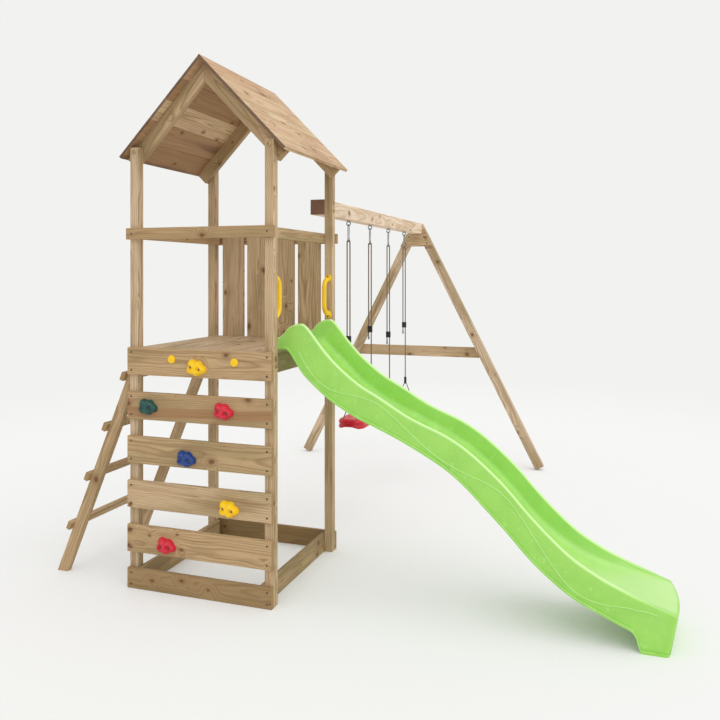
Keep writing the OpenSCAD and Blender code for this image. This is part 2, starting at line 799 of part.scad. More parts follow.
module board_screws() {
  color(steel_c) {
    for (i = [1 : climb_count]) end_screws(climb_z(i), board_w);
    end_screws(0, sand_h);
    for (x = [-1, 1]) screw_back([x * (tower_w - post_w) / 2, -board_t, rail_z + rail_h / 2]);
    for (x = [-1, 1], z = [sand_h / 2, floor_under - screw_edge, rail_z + rail_h / 2])
      screw_forward([x * (tower_w - post_w) / 2, tower_d + board_t, z]);
    for (i = [0 : panel_count - 1], z = [floor_under - bearer_h / 2, rail_z + rail_h / 2])
      screw_forward([-panel_w / 2 + panel_board_w / 2 + i * (panel_board_w + panel_gap),
        tower_d + board_t, z]);
    for (i = [0 : rung_count - 1], y = [post_w + stringer_t / 2, back_in_y - stringer_t / 2])
      at_rung(i) translate([-rung_t, y, 0]) rotate([0, 90, 0]) screw();
    for (i = [1, 2], x = [-1, 1])
      screw_back([beam_x + x * (leg_out(beam_z - (i - 1 / 2) * cross_h) - leg_w / 2),
        leg_y - board_t, beam_z - (i - 1 / 2) * cross_h]);
    for (x = [-1, 1], z = [screw_edge, spreader_h - screw_edge])
      screw_forward([beam_x + x * (leg_out(spreader_z + z) - leg_x / 2), beam_end + board_t,
        spreader_z + z]);
    for (y = [post_w, back_in_y], end = [-1, 1]) let (side = y == post_w ? 1 : -1)
      translate([post_in_x + post_w / 2, y + side * handle_foot_t,
        handle_z(side) + end * (handle_l - handle_foot_d / 2) / 2])
        rotate([side * 90, 0, 0]) screw();
  }
}

// Coach bolts through the posts: side bearers, rafters and the swing beam
module frame_bolts() {
  color(steel_c) {
    for (x = [-1, 1], y = [post_w / 2, back_in_y + post_w / 2])
      translate([x * tower_w / 2, y, floor_under - bearer_h / 2])
        rotate([0, -x * 90, 0]) cut_bolt(post_w + bearer_t);
    for (x = [-1, 1]) let (px = (tower_w - post_w) / 2) {
      z = roof_apex - px * tan(roof_pitch) - rafter_h / 2 / cos(roof_pitch);
      translate([x * px, 0, z]) rotate([-90, 0, 0]) cut_bolt(post_w + rafter_t);
      translate([x * px, tower_d, z]) rotate([90, 0, 0]) cut_bolt(post_w + rafter_t);
    }
    for (z = [-1, 1])
      translate([tower_w / 2, back_in_y + post_w / 2, beam_z + (beam_w + z * bolt_pitch) / 2])
        rotate([0, -90, 0]) bolt();
  }
}

// Coach bolt that ends inside the second of two timbers
module cut_bolt(reach) {
  translate([0, 0, -bolt_head_h]) cylinder(d = bolt_head_d, h = bolt_head_h);
  cylinder(d = bolt_d, h = reach - bolt_d);
}

// Swings: pieces of one hanger stand at the beam's middle, on the hanger's own depth

module at_hanger(n, side) {
  translate([beam_x, hanger_y(n, side), 0]) children();
}

module both_hangers(n) {
  for (side = [-1, 1]) at_hanger(n, side) children();
}

// Half of a ring in the hook's plane, opening down or up
module half_ring(r, d, up) {
  rotate([90, 0, 90]) rotate([0, 0, up > 0 ? 0 : 180]) rotate_extrude(angle = 180)
    translate([r, 0]) circle(d = d);
}

module snap_hook() {
  top_z = snap_top - snap_side;
  low_z = snap_low + snap_side;
  translate([0, 0, top_z]) half_ring(snap_side, snap_wire, 1);
  translate([0, 0, low_z]) half_ring(snap_side, snap_wire, -1);
  translate([0, -snap_side, low_z]) cylinder(d = snap_wire, h = top_z - low_z);
  translate([0, snap_side, nose_z]) cylinder(d = snap_wire, h = top_z - nose_z);
  translate([-gate_tongue_w / 2, snap_side - snap_wire / 2, low_z])
    cube([gate_tongue_w, snap_wire, gate_pin_z - low_z]);
  translate([0, snap_side, gate_pin_z]) rotate([0, 90, 0]) {
    cylinder(d = snap_wire, h = gate_tongue_w, center = true);
    cylinder(d = gate_pin_d, h = gate_fork_w, center = true);
  }
}

// Liner that lies between the hook's wire and the rope
module rope_liner() {
  translate([0, 0, snap_low]) rotate([90, 0, 0])
    rotate_extrude(angle = 180) translate([liner_r, -liner_w / 2]) square([liner_t, liner_w]);
}

module snap_hooks(n) {
  color(steel_c) both_hangers(n) {
    snap_hook();
    rope_liner();
  }
}

// Gate in its closed place, forked around the hook's tongue
module gate(n, side) {
  slot = snap_wire + 2 * fit;
  color(steel_c) at_hanger(n, side) translate([0, snap_side, gate_pin_z]) difference() {
    union() {
      rotate([0, 90, 0]) cylinder(d = snap_wire, h = gate_fork_w, center = true);
      translate([-gate_fork_w / 2, -gate_d / 2, 0]) cube([gate_fork_w, gate_d, snap_wire]);
      cylinder(d = gate_d, h = gate_l);
    }
    translate([-gate_tongue_w / 2 - fit, -slot / 2, -slot / 2])
      cube([gate_tongue_w + 2 * fit, slot, slot]);
    rotate([0, 90, 0]) cylinder(d = gate_pin_d + 2 * pin_fit, h = gate_fork_w + cut, center = true);
  }
}

// Rope: up from the ferrule, over the liner and down again through the adjuster to its tail
module ropes(n) {
  color(rope_c) for (side = [-1, 1]) at_hanger(n, side) {
    tail_z = adjuster_z[hanger_no(n, side)] - adjuster_l / 2 - tail_l - crimp_l + fit;
    low_z = pivot_z(n) + ferrule_roof + ferrule_web;
    translate([0, 0, snap_low]) rotate([90, 0, 0])
      rotate_extrude(angle = 180) translate([strand_x, 0]) circle(d = rope_d);
    translate([strand_x, 0, low_z]) cylinder(d = rope_d, h = snap_low - low_z);
    translate([-strand_x, 0, tail_z]) cylinder(d = rope_d, h = snap_low - tail_z);
  }
}

// Sleeve that holds both strands side by side
module adjusters(n) {
  color(black_c) for (side = [-1, 1]) at_hanger(n, side)
    translate([0, 0, adjuster_z[hanger_no(n, side)] - adjuster_l / 2]) difference() {
      union() {
        for (x = [-1, 1]) translate([x * strand_x, 0, 0]) cylinder(d = adjuster_d, h = adjuster_l);
        translate([-strand_x, -adjuster_d / 2, 0]) cube([2 * strand_x, adjuster_d, adjuster_l]);
      }
      for (x = [-1, 1]) translate([x * strand_x, 0, -cut])
        cylinder(d = rope_d + 2 * fit, h = adjuster_l + 2 * cut);
    }
}

// Steel cup on the end of each rope's tail
module crimps(n) {
  color(steel_c) for (side = [-1, 1]) at_hanger(n, side)
    translate([-strand_x, 0, adjuster_z[hanger_no(n, side)] - adjuster_l / 2 - tail_l - crimp_l])
      difference() {
        translate([0, 0, -fit]) cylinder(d = crimp_d, h = crimp_l);
        cylinder(d = rope_d + 2 * fit, h = crimp_l + cut);
      }
}

// Sleeve at the rope's lower end, with a pin in a slot for the bridle
module ferrules(n) {
  color(black_c) both_hangers(n) translate([strand_x, 0, pivot_z(n)]) {
    difference() {
      translate([0, 0, -ferrule_drop]) cylinder(d = ferrule_d, h = ferrule_l + ferrule_drop);
      translate([0, 0, ferrule_roof + ferrule_web]) cylinder(d = rope_d + 2 * fit, h = ferrule_l);
      translate([-ferrule_d / 2 - cut, -ferrule_slot, -ferrule_drop - cut])
        cube([ferrule_d + 2 * cut, 2 * ferrule_slot, ferrule_drop + cut + ferrule_roof]);
    }
    rotate([90, 0, 0]) cylinder(d = bridle_pin_d, h = 2 * ferrule_slot + fit, center = true);
  }
}

// Carries its children to the start of a bridle's leg, Z down along the leg
module at_bridle_leg(side) {
  rotate([0, -side * bridle_angle, 0]) translate([side * bridle_r, 0, 0]) rotate([180, 0, 0])
    children();
}

module bridle() {
  rotate([90, 0, 0]) rotate([0, 0, bridle_angle])
    rotate_extrude(angle = 180 - 2 * bridle_angle) translate([bridle_r, 0]) circle(d = bridle_d);
  knot_at = bridle_leg + (knot_d / 2 + fit) / cos(bridle_angle);
  for (side = [-1, 1]) at_bridle_leg(side) {
    cylinder(d = bridle_d, h = knot_at);
    translate([0, 0, knot_at]) sphere(d = knot_d);
  }
}

module bridles(n) {
  color(rope_c) both_hangers(n) translate([strand_x, 0, pivot_z(n)]) bridle();
}

// Rounded block that a seat's outside and inside are cut from
module seat_block(l, w, h, corner, edge) {
  intersection() {
    translate([-w / 2, -l / 2, -h]) linear_extrude(h) rounded(w, l, corner);
    translate([-w / 2, l / 2, -2 * h]) rotate([90, 0, 0]) linear_extrude(l) rounded(w, 2 * h, edge);
    translate([-w / 2, -l / 2, -2 * h]) rotate([90, 0, 90]) linear_extrude(w) rounded(l, 2 * h, edge);
  }
}

module seat(n) {
  l = hang_w + 2 * seat_end;
  color(red_c) translate([beam_x + strand_x, swing_y(n), seat_top(n)]) difference() {
    seat_block(l, seat_w, seat_h, seat_corner_r, seat_edge_r);
    translate([0, 0, -seat_t])
      seat_block(l - 2 * seat_t, seat_w - 2 * seat_t, seat_h, seat_corner_r - seat_t,
        seat_edge_r - seat_t);
    for (y = [-1, 1], side = [-1, 1]) translate([0, y * hang_w / 2, bridle_h])
      at_bridle_leg(side) cylinder(d = bridle_d + 2 * fit, h = bridle_leg + seat_h);
  }
}

// Draws one node in the part's own frame
module part() {
  translate(-origin) children();
}

part() post(-tower_w / 2, 0);  // post_front_left
part() post(post_in_x, 0);  // post_front_right
part() post(-tower_w / 2, back_in_y);  // post_back_left
part() post(post_in_x, back_in_y);  // post_back_right
part() front_board(climb_z(1), board_w);  // climbing_board_1
part() front_board(climb_z(2), board_w);  // climbing_board_2
part() front_board(climb_z(3), board_w);  // climbing_board_3
part() front_board(climb_z(4), board_w);  // climbing_board_4
part() front_board(climb_z(5), board_w);  // climbing_board_5
part() front_board(0, sand_h);  // sandpit_board_front
part() back_board(0, sand_h);  // sandpit_board_back
part() side_boards(0, sand_h, board_t);  // sandpit_boards_side
part() front_board(rail_z, rail_h, rail_over);  // guard_rail_front
part() back_board(rail_z, rail_h, rail_over);  // guard_rail_back
part() side_boards(rail_z, rail_h, board_t);  // guard_rails_side
part() back_panel_boards();
part() back_board(floor_under - bearer_h, bearer_h);  // back_panel_rail
part()  // platform_bearers
  side_boards(floor_under - bearer_h, bearer_h, bearer_t);
part() platform_joists();
part() platform_planks();
part() rafters();
part() roof_slope(-1, ridge_drop, 0);  // roof_planks_left
part() roof_slope(1, 0, ridge_lap);  // roof_planks_right
part() ladder_stringers();
part() ladder_rungs();
part() slide();
part() grab_handles();
part() color(yellow_c) stones(stone_yellow_shares);  // stones_yellow
part() color(red_c) stones(stone_red_shares);  // stones_red
part() color(green_c) stones(stone_green_shares);  // stone_green
part() color(blue_c) stones(stone_blue_shares);  // stone_blue
part() cover_caps();
part() swing_beam();
part() leg(-1);  // leg_left
part() leg(1);  // leg_right
part() leg_cross_boards();
part()  // leg_spreader
  cross_board(spreader_z, spreader_h, beam_end, spreader_in);
part() hanging_eyes();
part() board_screws();
part() stone_bolts();
part() frame_bolts();
part() snap_hooks(1);  // snap_hooks_1
part() ropes(1);  // ropes_1
part() adjusters(1);  // adjusters_1
part() crimps(1);  // crimps_1
part() ferrules(1);  // ferrules_1
part() bridles(1);  // bridles_1
part() seat(1);  // seat_1
part() snap_hooks(2);  // snap_hooks_2
part() ropes(2);  // ropes_2
part() adjusters(2);  // adjusters_2
part() crimps(2);  // crimps_2
part() ferrules(2);  // ferrules_2
part() bridles(2);  // bridles_2
part() seat(2);  // seat_2
part() gate(1, -1);  // gate_1
part() gate(1, 1);  // gate_2
part() gate(2, -1);  // gate_3
part() gate(2, 1);  // gate_4
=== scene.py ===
"""Dresses the wooden play tower: timber, slide, stones, swings, fasteners and the studio."""

import logging
import math
from dataclasses import dataclass
from enum import Enum
from functools import lru_cache, partial
from typing import Any, Callable, Iterable, Iterator, Optional, Sequence, Union

import bmesh
import bpy
import numpy as np
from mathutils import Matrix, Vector


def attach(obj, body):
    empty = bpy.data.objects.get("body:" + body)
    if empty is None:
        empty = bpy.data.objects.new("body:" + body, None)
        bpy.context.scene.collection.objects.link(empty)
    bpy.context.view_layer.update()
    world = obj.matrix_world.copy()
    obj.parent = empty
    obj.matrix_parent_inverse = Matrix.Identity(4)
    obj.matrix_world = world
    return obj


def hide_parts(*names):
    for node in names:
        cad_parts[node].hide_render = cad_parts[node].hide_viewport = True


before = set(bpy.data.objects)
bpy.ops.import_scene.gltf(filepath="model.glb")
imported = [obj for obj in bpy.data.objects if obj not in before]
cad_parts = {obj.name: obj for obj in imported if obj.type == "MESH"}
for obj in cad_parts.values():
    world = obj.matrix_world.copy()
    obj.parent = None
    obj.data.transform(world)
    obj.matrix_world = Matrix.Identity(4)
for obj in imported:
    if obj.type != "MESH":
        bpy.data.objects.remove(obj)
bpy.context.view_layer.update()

LOG = logging.getLogger("play_tower")

# Millimetres in a metre; sizes below are in millimetres and in the tower's own places
MM = 1000.0
# Tower place of the part's origin
ORIGIN = np.array([663.081, 1558.0, 0.0])
# Sockets of the Mix node once it mixes colours
MIX_A, MIX_B, MIX_OUT = 6, 7, 2
# Metres under which two corners are one
MERGE = 1e-5
# Degrees under which faces are one plane, and over which an edge is sharp
FLAT, SHARP = 0.5, 50.0
# Cosines under which an edge runs across a timber, and over which a face looks along an axis
CROSSWISE, FACING = 0.75, 0.6
# Decimals of a metre to which lengths and places are compared
DECIMALS = 4

Pair = tuple[float, float]
Triple = tuple[float, float, float]
Quad = tuple[float, float, float, float]
Piece = bpy.types.Object
Material = bpy.types.Material
Shape = bmesh.types.BMesh
Faces = list[bmesh.types.BMFace]
Source = Union[bpy.types.Node, bpy.types.NodeSocket]
Adder = Callable[..., Any]


class Body(Enum):
    """The bodies that pieces ride on."""

    FRAME = "frame"
    SWING_1 = "swing_1"
    SWING_2 = "swing_2"
    SEAT_1 = "seat_tilt_1"
    SEAT_2 = "seat_tilt_2"
    GATE_1 = "gate_body_1"
    GATE_2 = "gate_body_2"
    GATE_3 = "gate_body_3"
    GATE_4 = "gate_body_4"


class Slot(Enum):
    """The record's material slots."""

    TIMBER = "timber"
    ROOF = "roof_timber"
    LIME = "lime_plastic"
    YELLOW = "yellow_plastic"
    RED = "red_plastic"
    GREEN = "green_plastic"
    BLUE = "blue_plastic"
    STEEL = "galvanized_steel"
    BLACK = "black_plastic"
    ROPE = "rope"


# Small helpers


def linear(colour: str) -> Quad:
    """Turns an sRGB hex value into a linear colour.

    Args:
        colour: hex value such as "#c6a67a".

    Returns:
        Red, green, blue and alpha, linear.
    """
    parts = [int(colour[i : i + 2], 16) / 255 for i in (1, 3, 5)]
    red, green, blue = (c / 12.92 if c <= 0.04045 else ((c + 0.055) / 1.055) ** 2.4 for c in parts)
    return (red, green, blue, 1.0)


def add_node(tree: Any, kind: str, inputs: Optional[dict] = None, **settings: Any) -> Any:
    """Adds a node to a tree with its settings and links.

    Args:
        tree: the node tree.
        kind: the node's type.
        inputs: a value to set, or a socket or a node's first output to link, by the input's
            name or number.
        settings: the node's own properties.

    Returns:
        The new node.
    """
    node = tree.nodes.new(kind)
    for key, value in settings.items():
        setattr(node, key, value)
    for key, value in (inputs or {}).items():
        if isinstance(value, bpy.types.Node):
            value = value.outputs[0]
        if isinstance(value, bpy.types.NodeSocket):
            tree.links.new(value, node.inputs[key])
        else:
            node.inputs[key].default_value = value
    return node


def new_material(name: str) -> tuple[Material, Adder]:
    """Makes an empty material.

    Args:
        name: the material's name.

    Returns:
        The material, and a function that adds nodes to it.
    """
    material = bpy.data.materials.new(name)
    material.use_nodes = True
    material.node_tree.nodes.clear()
    return material, partial(add_node, material.node_tree)


def to_metres(points: np.ndarray) -> np.ndarray:
    """Carries tower places in millimetres to the part's own frame in metres."""
    return (np.asarray(points, float) - ORIGIN) / MM


def mesh_object(name: str, points: np.ndarray, faces: Sequence) -> Piece:
    """Makes a closed mesh whose faces point outwards.

    Args:
        name: the piece's name.
        points: tower places in millimetres.
        faces: corner numbers of each face.

    Returns:
        The object, linked to the scene.
    """
    mesh = bpy.data.meshes.new(name)
    mesh.from_pydata(to_metres(points).tolist(), [], [tuple(int(i) for i in f) for f in faces])
    shape = bmesh.new()
    shape.from_mesh(mesh)
    bmesh.ops.recalc_face_normals(shape, faces=shape.faces)
    shape.to_mesh(mesh)
    shape.free()
    return link_object(name, mesh)


def link_object(name: str, data: bpy.types.ID) -> Piece:
    """Puts a mesh, a lamp or a camera into the scene as an object at the origin.

    Args:
        name: the object's name.
        data: what it shows.

    Returns:
        The object.
    """
    piece = bpy.data.objects.new(name, data)
    bpy.context.scene.collection.objects.link(piece)
    return piece


def shape_object(name: str, shape: Shape) -> Piece:
    """Keeps an edited shape as an object.

    Args:
        name: the piece's name.
        shape: the shape, which is freed.

    Returns:
        The object, linked to the scene.
    """
    mesh = bpy.data.meshes.new(name)
    shape.to_mesh(mesh)
    shape.free()
    return link_object(name, mesh)


def tube_faces(rings: int, sides: int) -> list[tuple[int, ...]]:
    """Joins rings of corners that follow one another and closes both ends.

    Args:
        rings: number of rings.
        sides: corners of each ring.

    Returns:
        Corner numbers of each face, the two ends first.
    """
    last = (rings - 1) * sides
    faces = [tuple(range(sides)), tuple(range(last, last + sides))]
    for a in range(0, last, sides):
        for k in range(sides):
            n = (k + 1) % sides
            faces.append((a + k, a + n, a + sides + n, a + sides + k))
    return faces


def write_vectors(mesh: bpy.types.Mesh, name: str, rows: Iterable[Sequence[float]]) -> None:
    """Writes a vector at each corner of a mesh.

    Args:
        mesh: the mesh.
        name: the attribute's name.
        rows: a vector for each corner.
    """
    layer = mesh.attributes.new(name, "FLOAT_VECTOR", "POINT")
    layer.data.foreach_set("vector", [float(x) for row in rows for x in row])


def soften(piece: Piece, angle: float) -> None:
    """Shades a piece smoothly, apart from edges sharper than an angle in degrees."""
    piece.data.polygons.foreach_set("use_smooth", [True] * len(piece.data.polygons))
    piece.data.set_sharp_from_angle(angle=math.radians(angle))


def finish_piece(piece: Piece, look: "Look", body: Body, node: str) -> Piece:
    """Gives a piece its finish and its body, and hides the solid that it stands for.

    Args:
        piece: the object.
        look: its finish, which a piece made by a tree has already.
        body: the body that it rides on.
        node: the solid that it replaces.

    Returns:
        The same object.
    """
    if not piece.data.materials:
        piece.data.materials.append(look.material())
    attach(piece, body.value)
    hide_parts(node)
    LOG.info("%s: %d faces on %s", piece.name, len(piece.data.polygons), body.value)
    return piece


def merged_copy(node: str, ease: float) -> Shape:
    """Copies a CAD solid, merges its corners and eases its sharp edges.

    Args:
        node: the solid's name.
        ease: width of the eased edges in millimetres, 0 for none.

    Returns:
        The copy as an editable mesh.
    """
    shape = bmesh.new()
    shape.from_mesh(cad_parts[node].data)
    bmesh.ops.remove_doubles(shape, verts=shape.verts, dist=MERGE)
    bmesh.ops.dissolve_limit(
        shape, angle_limit=math.radians(FLAT), verts=shape.verts, edges=shape.edges
    )
    sharp = [
        edge
        for edge in shape.edges
        if len(edge.link_faces) == 2 and edge.calc_face_angle() > math.radians(SHARP)
    ]
    if ease and sharp:
        bmesh.ops.bevel(
            shape,
            geom=sharp,
            offset=ease / MM,
            segments=2,
            profile=0.5,
            affect="EDGES",
            clamp_overlap=True,
        )
    return shape


def islands(shape: Shape) -> list[Faces]:
    """Groups the faces of a mesh into its separate solids.

    Args:
        shape: the mesh.

    Returns:
        The faces of each solid, the solids from left to right.
    """
    todo, groups = set(shape.faces), []
    while todo:
        stack, group = [todo.pop()], []
        while stack:
            face = stack.pop()
            group.append(face)
            for edge in face.edges:
                for other in edge.link_faces:
                    if other in todo:
                        todo.remove(other)
                        stack.append(other)
        groups.append(group)
    return sorted(groups, key=lambda g: tuple(round(x, DECIMALS) for x in centre(g)))


def centre(group: Faces) -> Triple:
    """Finds the middle of a group of faces' corners, in whatever order they come."""
    points = [v.co for v in {v for f in group for v in f.verts}]
    return tuple(math.fsum(axis) / len(points) for axis in zip(*points))


def headed(way: Vector) -> Vector:
    """Turns a direction so that its largest part is positive, and makes it a unit long."""
    unit = way.normalized()
    return unit if max(unit, key=abs) > 0 else -unit


# Finishes


@dataclass(frozen=True)
class PineTimber:
    """Pressure treated pine, planed: olive and tan sapwood, browner heart, rings and knots.

    The treatment leaves a green-brown cast that differs from board to board.
    """

    name: str = "pressure_treated_pine"
    pale: str = "#ecd9be"
    sap: str = "#dabb90"
    deep: str = "#b5966c"
    heart: str = "#ad825c"
    latewood: str = "#8a6a45"
    stain: str = "#9c8c62"
    streak: str = "#94724e"
    halo: str = "#86592f"
    knot: str = "#55341a"
    end: str = "#a3845c"
    # Slow wander of the grain: waves to a metre, and their reach in metres
    sway_waves: Triple = (2.4, 8.0, 8.0)
    sway_reach: Triple = (0.06, 0.034, 0.034)
    # Rings of 3 mm are too fine to show, so they are drawn 9 mm wide
    ring: float = 9.0
    # Latewood at a ring's two edges, and at places between them
    ring_ends: Pair = (0.1, 0.15)
    ring_stops: tuple[Pair, ...] = ((0.5, 0.12), (0.86, 0.95))
    ring_share: float = 0.68
    # Knots: how far apart, how rare, and sizes as shares of that distance
    knot_along: float = 170.0
    knot_across: float = 120.0
    knot_rare: float = 0.55
    knot_size: float = 0.15
    knot_core: float = 0.35
    knot_share: float = 0.66
    halo_wide: float = 2.2
    halo_share: float = 0.45
    swirl_from: float = 0.42
    swirl_push: float = 0.3
    # Fibres, drawn coarser than they are so that they show; waves to a metre along them
    fibre: float = 3.6
    fibre_waves: float = 7.0
    fibre_range: Pair = (0.3, 0.7)
    fibre_share: float = 0.3
    # Heartwood: least and greatest radius and the width of its edge, in metres
    heart_radius: Pair = (-0.03, 0.085)
    heart_edge: float = 0.016
    heart_share: float = 0.9
    # Patches where the treatment took more deeply: waves to a metre, then from, to and share
    stain_waves: Triple = (2.2, 7.0, 7.0)
    stain_range: Triple = (0.43, 0.7, 0.68)
    # Long brown streaks where the growth was slower, alike
    streak_across: float = 20.0
    streak_waves: float = 1.3
    streak_range: Triple = (0.48, 0.75, 0.6)
    end_share: float = 0.85
    # Height of the raised grain in metres, and how strongly it shows
    relief: float = 0.0008
    relief_share: float = 0.35
    rough: Pair = (0.6, 0.82)
    ior: float = 1.45
    specular: float = 0.35

    def knots(self, add: Adder, swayed: Source) -> tuple[Source, ...]:
        """Adds oval knots that go through the thickness.

        Args:
            add: the function that adds nodes.
            swayed: place in the timber, with the grain's wander.

        Returns:
            The knots, the stain round them, and how far they push the rings aside.
        """
        scale = (MM / self.knot_along, MM / self.knot_across, 0.0)
        at = add("ShaderNodeVectorMath", {0: swayed, 1: scale}, operation="MULTIPLY")
        cells = add("ShaderNodeTexVoronoi", {"Vector": at, "Scale": 1.0}, voronoi_dimensions="2D")
        chance = add("ShaderNodeSeparateColor", {0: cells.outputs["Color"]})
        size = add(
            "ShaderNodeMapRange",
            {"Value": chance, "From Min": self.knot_rare, "To Max": self.knot_size},
        )
        core, wide, push = (
            add("ShaderNodeMath", {0: size, 1: share}, operation="MULTIPLY")
            for share in (self.knot_core, self.halo_wide, self.swirl_push)
        )
        return tuple(
            add(
                "ShaderNodeMapRange",
                {
                    "Value": cells.outputs["Distance"],
                    "From Min": outer,
                    "From Max": inner,
                    "To Max": share,
                },
                interpolation_type="SMOOTHSTEP",
            )
            for outer, inner, share in (
                (size, core, self.knot_share),
                (wide, core, self.halo_share),
                (self.swirl_from, 0.0, push),
            )
        )

    def rings(self, add: Adder, radius: Source, push: Source) -> Source:
        """Adds the rings about the pith, pushed aside by the knots.

        Args:
            add: the function that adds nodes.
            radius: distance from the pith.
            push: how far the knots push the rings.

        Returns:
            How much latewood there is.
        """
        pushed = add("ShaderNodeMath", {0: radius, 1: push}, operation="ADD")
        count = add("ShaderNodeMath", {0: pushed, 1: MM / self.ring}, operation="MULTIPLY")
        part = add("ShaderNodeMath", {0: count}, operation="FRACT")
        ramp = add("ShaderNodeValToRGB", {0: part})
        stops = ramp.color_ramp.elements
        for stop, grey in zip(stops, self.ring_ends):
            stop.color = (grey, grey, grey, 1.0)
        for place, grey in self.ring_stops:
            stops.new(place).color = (grey, grey, grey, 1.0)
        return ramp

    def build(self) -> Material:
        """Makes the material from each timber's own grain and tone attributes.

        Returns:
            The material.
        """
        material, add = new_material(self.name)
        grain, tone, end, side = (
            add("ShaderNodeAttribute", attribute_name=name).outputs[kind]
            for name, kind in (
                ("grain", "Vector"), ("tone", "Vector"), ("end", "Fac"), ("side", "Fac")
            )
        )
        deep, hearty, pale = add("ShaderNodeSeparateXYZ", {0: tone}).outputs
        at = add("ShaderNodeVectorMath", {0: grain, 1: self.sway_waves}, operation="MULTIPLY")
        sway = add("ShaderNodeTexNoise", {"Vector": at, "Scale": 1.0, "Detail": 2.0})
        swayed = add(
            "ShaderNodeVectorMath",
            {0: sway.outputs["Color"], 1: self.sway_reach, 2: grain},
            operation="MULTIPLY_ADD",
        )
        knot, halo, push = self.knots(add, swayed)
        flat = add("ShaderNodeVectorMath", {0: swayed, 1: (0.0, 1.0, 1.0)}, operation="MULTIPLY")
        far = add("ShaderNodeVectorMath", {0: flat}, operation="LENGTH")
        radius = far.outputs["Value"]
        ring = self.rings(add, radius, push)
        noises = []
        for source, waves, width, detail in (
            (swayed, self.fibre_waves, self.fibre, 3.0),
            (swayed, self.streak_waves, self.streak_across, 2.0),
            (grain, self.stain_waves, None, 4.0),
        ):
            scale = waves if width is None else (waves, MM / width, MM / width)
            at = add("ShaderNodeVectorMath", {0: source, 1: scale}, operation="MULTIPLY")
            inputs = {"Vector": at, "Scale": 1.0, "Detail": detail}
            noises.append(add("ShaderNodeTexNoise", inputs))
        fibre, *slow = noises
        streak, stain = (
            add(
                "ShaderNodeMapRange",
                {"Value": noise, "From Min": low, "From Max": high, "To Max": share},
                interpolation_type="SMOOTHSTEP",
            )
            for noise, (low, high, share) in zip(slow, (self.streak_range, self.stain_range))
        )
        shade = add(
            "ShaderNodeMapRange",
            {
                "Value": fibre,
                "From Min": self.fibre_range[0],
                "From Max": self.fibre_range[1],
                "To Min": self.fibre_share,
                "To Max": 0.0,
            },
        )
        # Heartwood inside a radius that differs from timber to timber
        least, most = self.heart_radius
        rim = add("ShaderNodeMapRange", {"Value": hearty, "To Min": least, "To Max": most})
        inner = add("ShaderNodeMath", {0: rim, 1: self.heart_edge}, operation="SUBTRACT")
        heart = add(
            "ShaderNodeMapRange",
            {"Value": radius, "From Min": rim, "From Max": inner, "To Max": self.heart_share},
            interpolation_type="SMOOTHSTEP",
        )
        # A knot shows on a timber's faces, not on its narrow edges
        flank = add("ShaderNodeMath", {0: 1.0, 1: side}, operation="SUBTRACT")
        dark, warm, late, cut = (
            add("ShaderNodeMath", {0: share, 1: by}, operation="MULTIPLY")
            for share, by in (
                (knot, flank), (halo, flank), (ring, self.ring_share), (end, self.end_share)
            )
        )
        colour = linear(self.sap)
        for share, other in (
            (deep, self.deep),
            (pale, self.pale),
            (stain, self.stain),
            (heart, self.heart),
            (streak, self.streak),
            (late, self.latewood),
            (shade, self.latewood),
            (warm, self.halo),
            (dark, self.knot),
            (cut, self.end),
        ):
            colour = add(
                "ShaderNodeMix", {0: share, MIX_A: colour, MIX_B: linear(other)}, data_type="RGBA"
            ).outputs[MIX_OUT]
        raised = add("ShaderNodeMath", {0: ring, 1: fibre}, operation="ADD")
        bump = add(
            "ShaderNodeBump",
            {"Strength": self.relief_share, "Distance": self.relief, "Height": raised},
        )
        smooth, dull = self.rough
        rough = add("ShaderNodeMapRange", {"Value": fibre, "To Min": smooth, "To Max": dull})
        skin = add(
            "ShaderNodeBsdfPrincipled",
            {
                "Base Color": colour,
                "Roughness": rough,
                "IOR": self.ior,
                "Specular IOR Level": self.specular,
                "Normal": bump,
            },
        )
        add("ShaderNodeOutputMaterial", {0: skin})
        return material


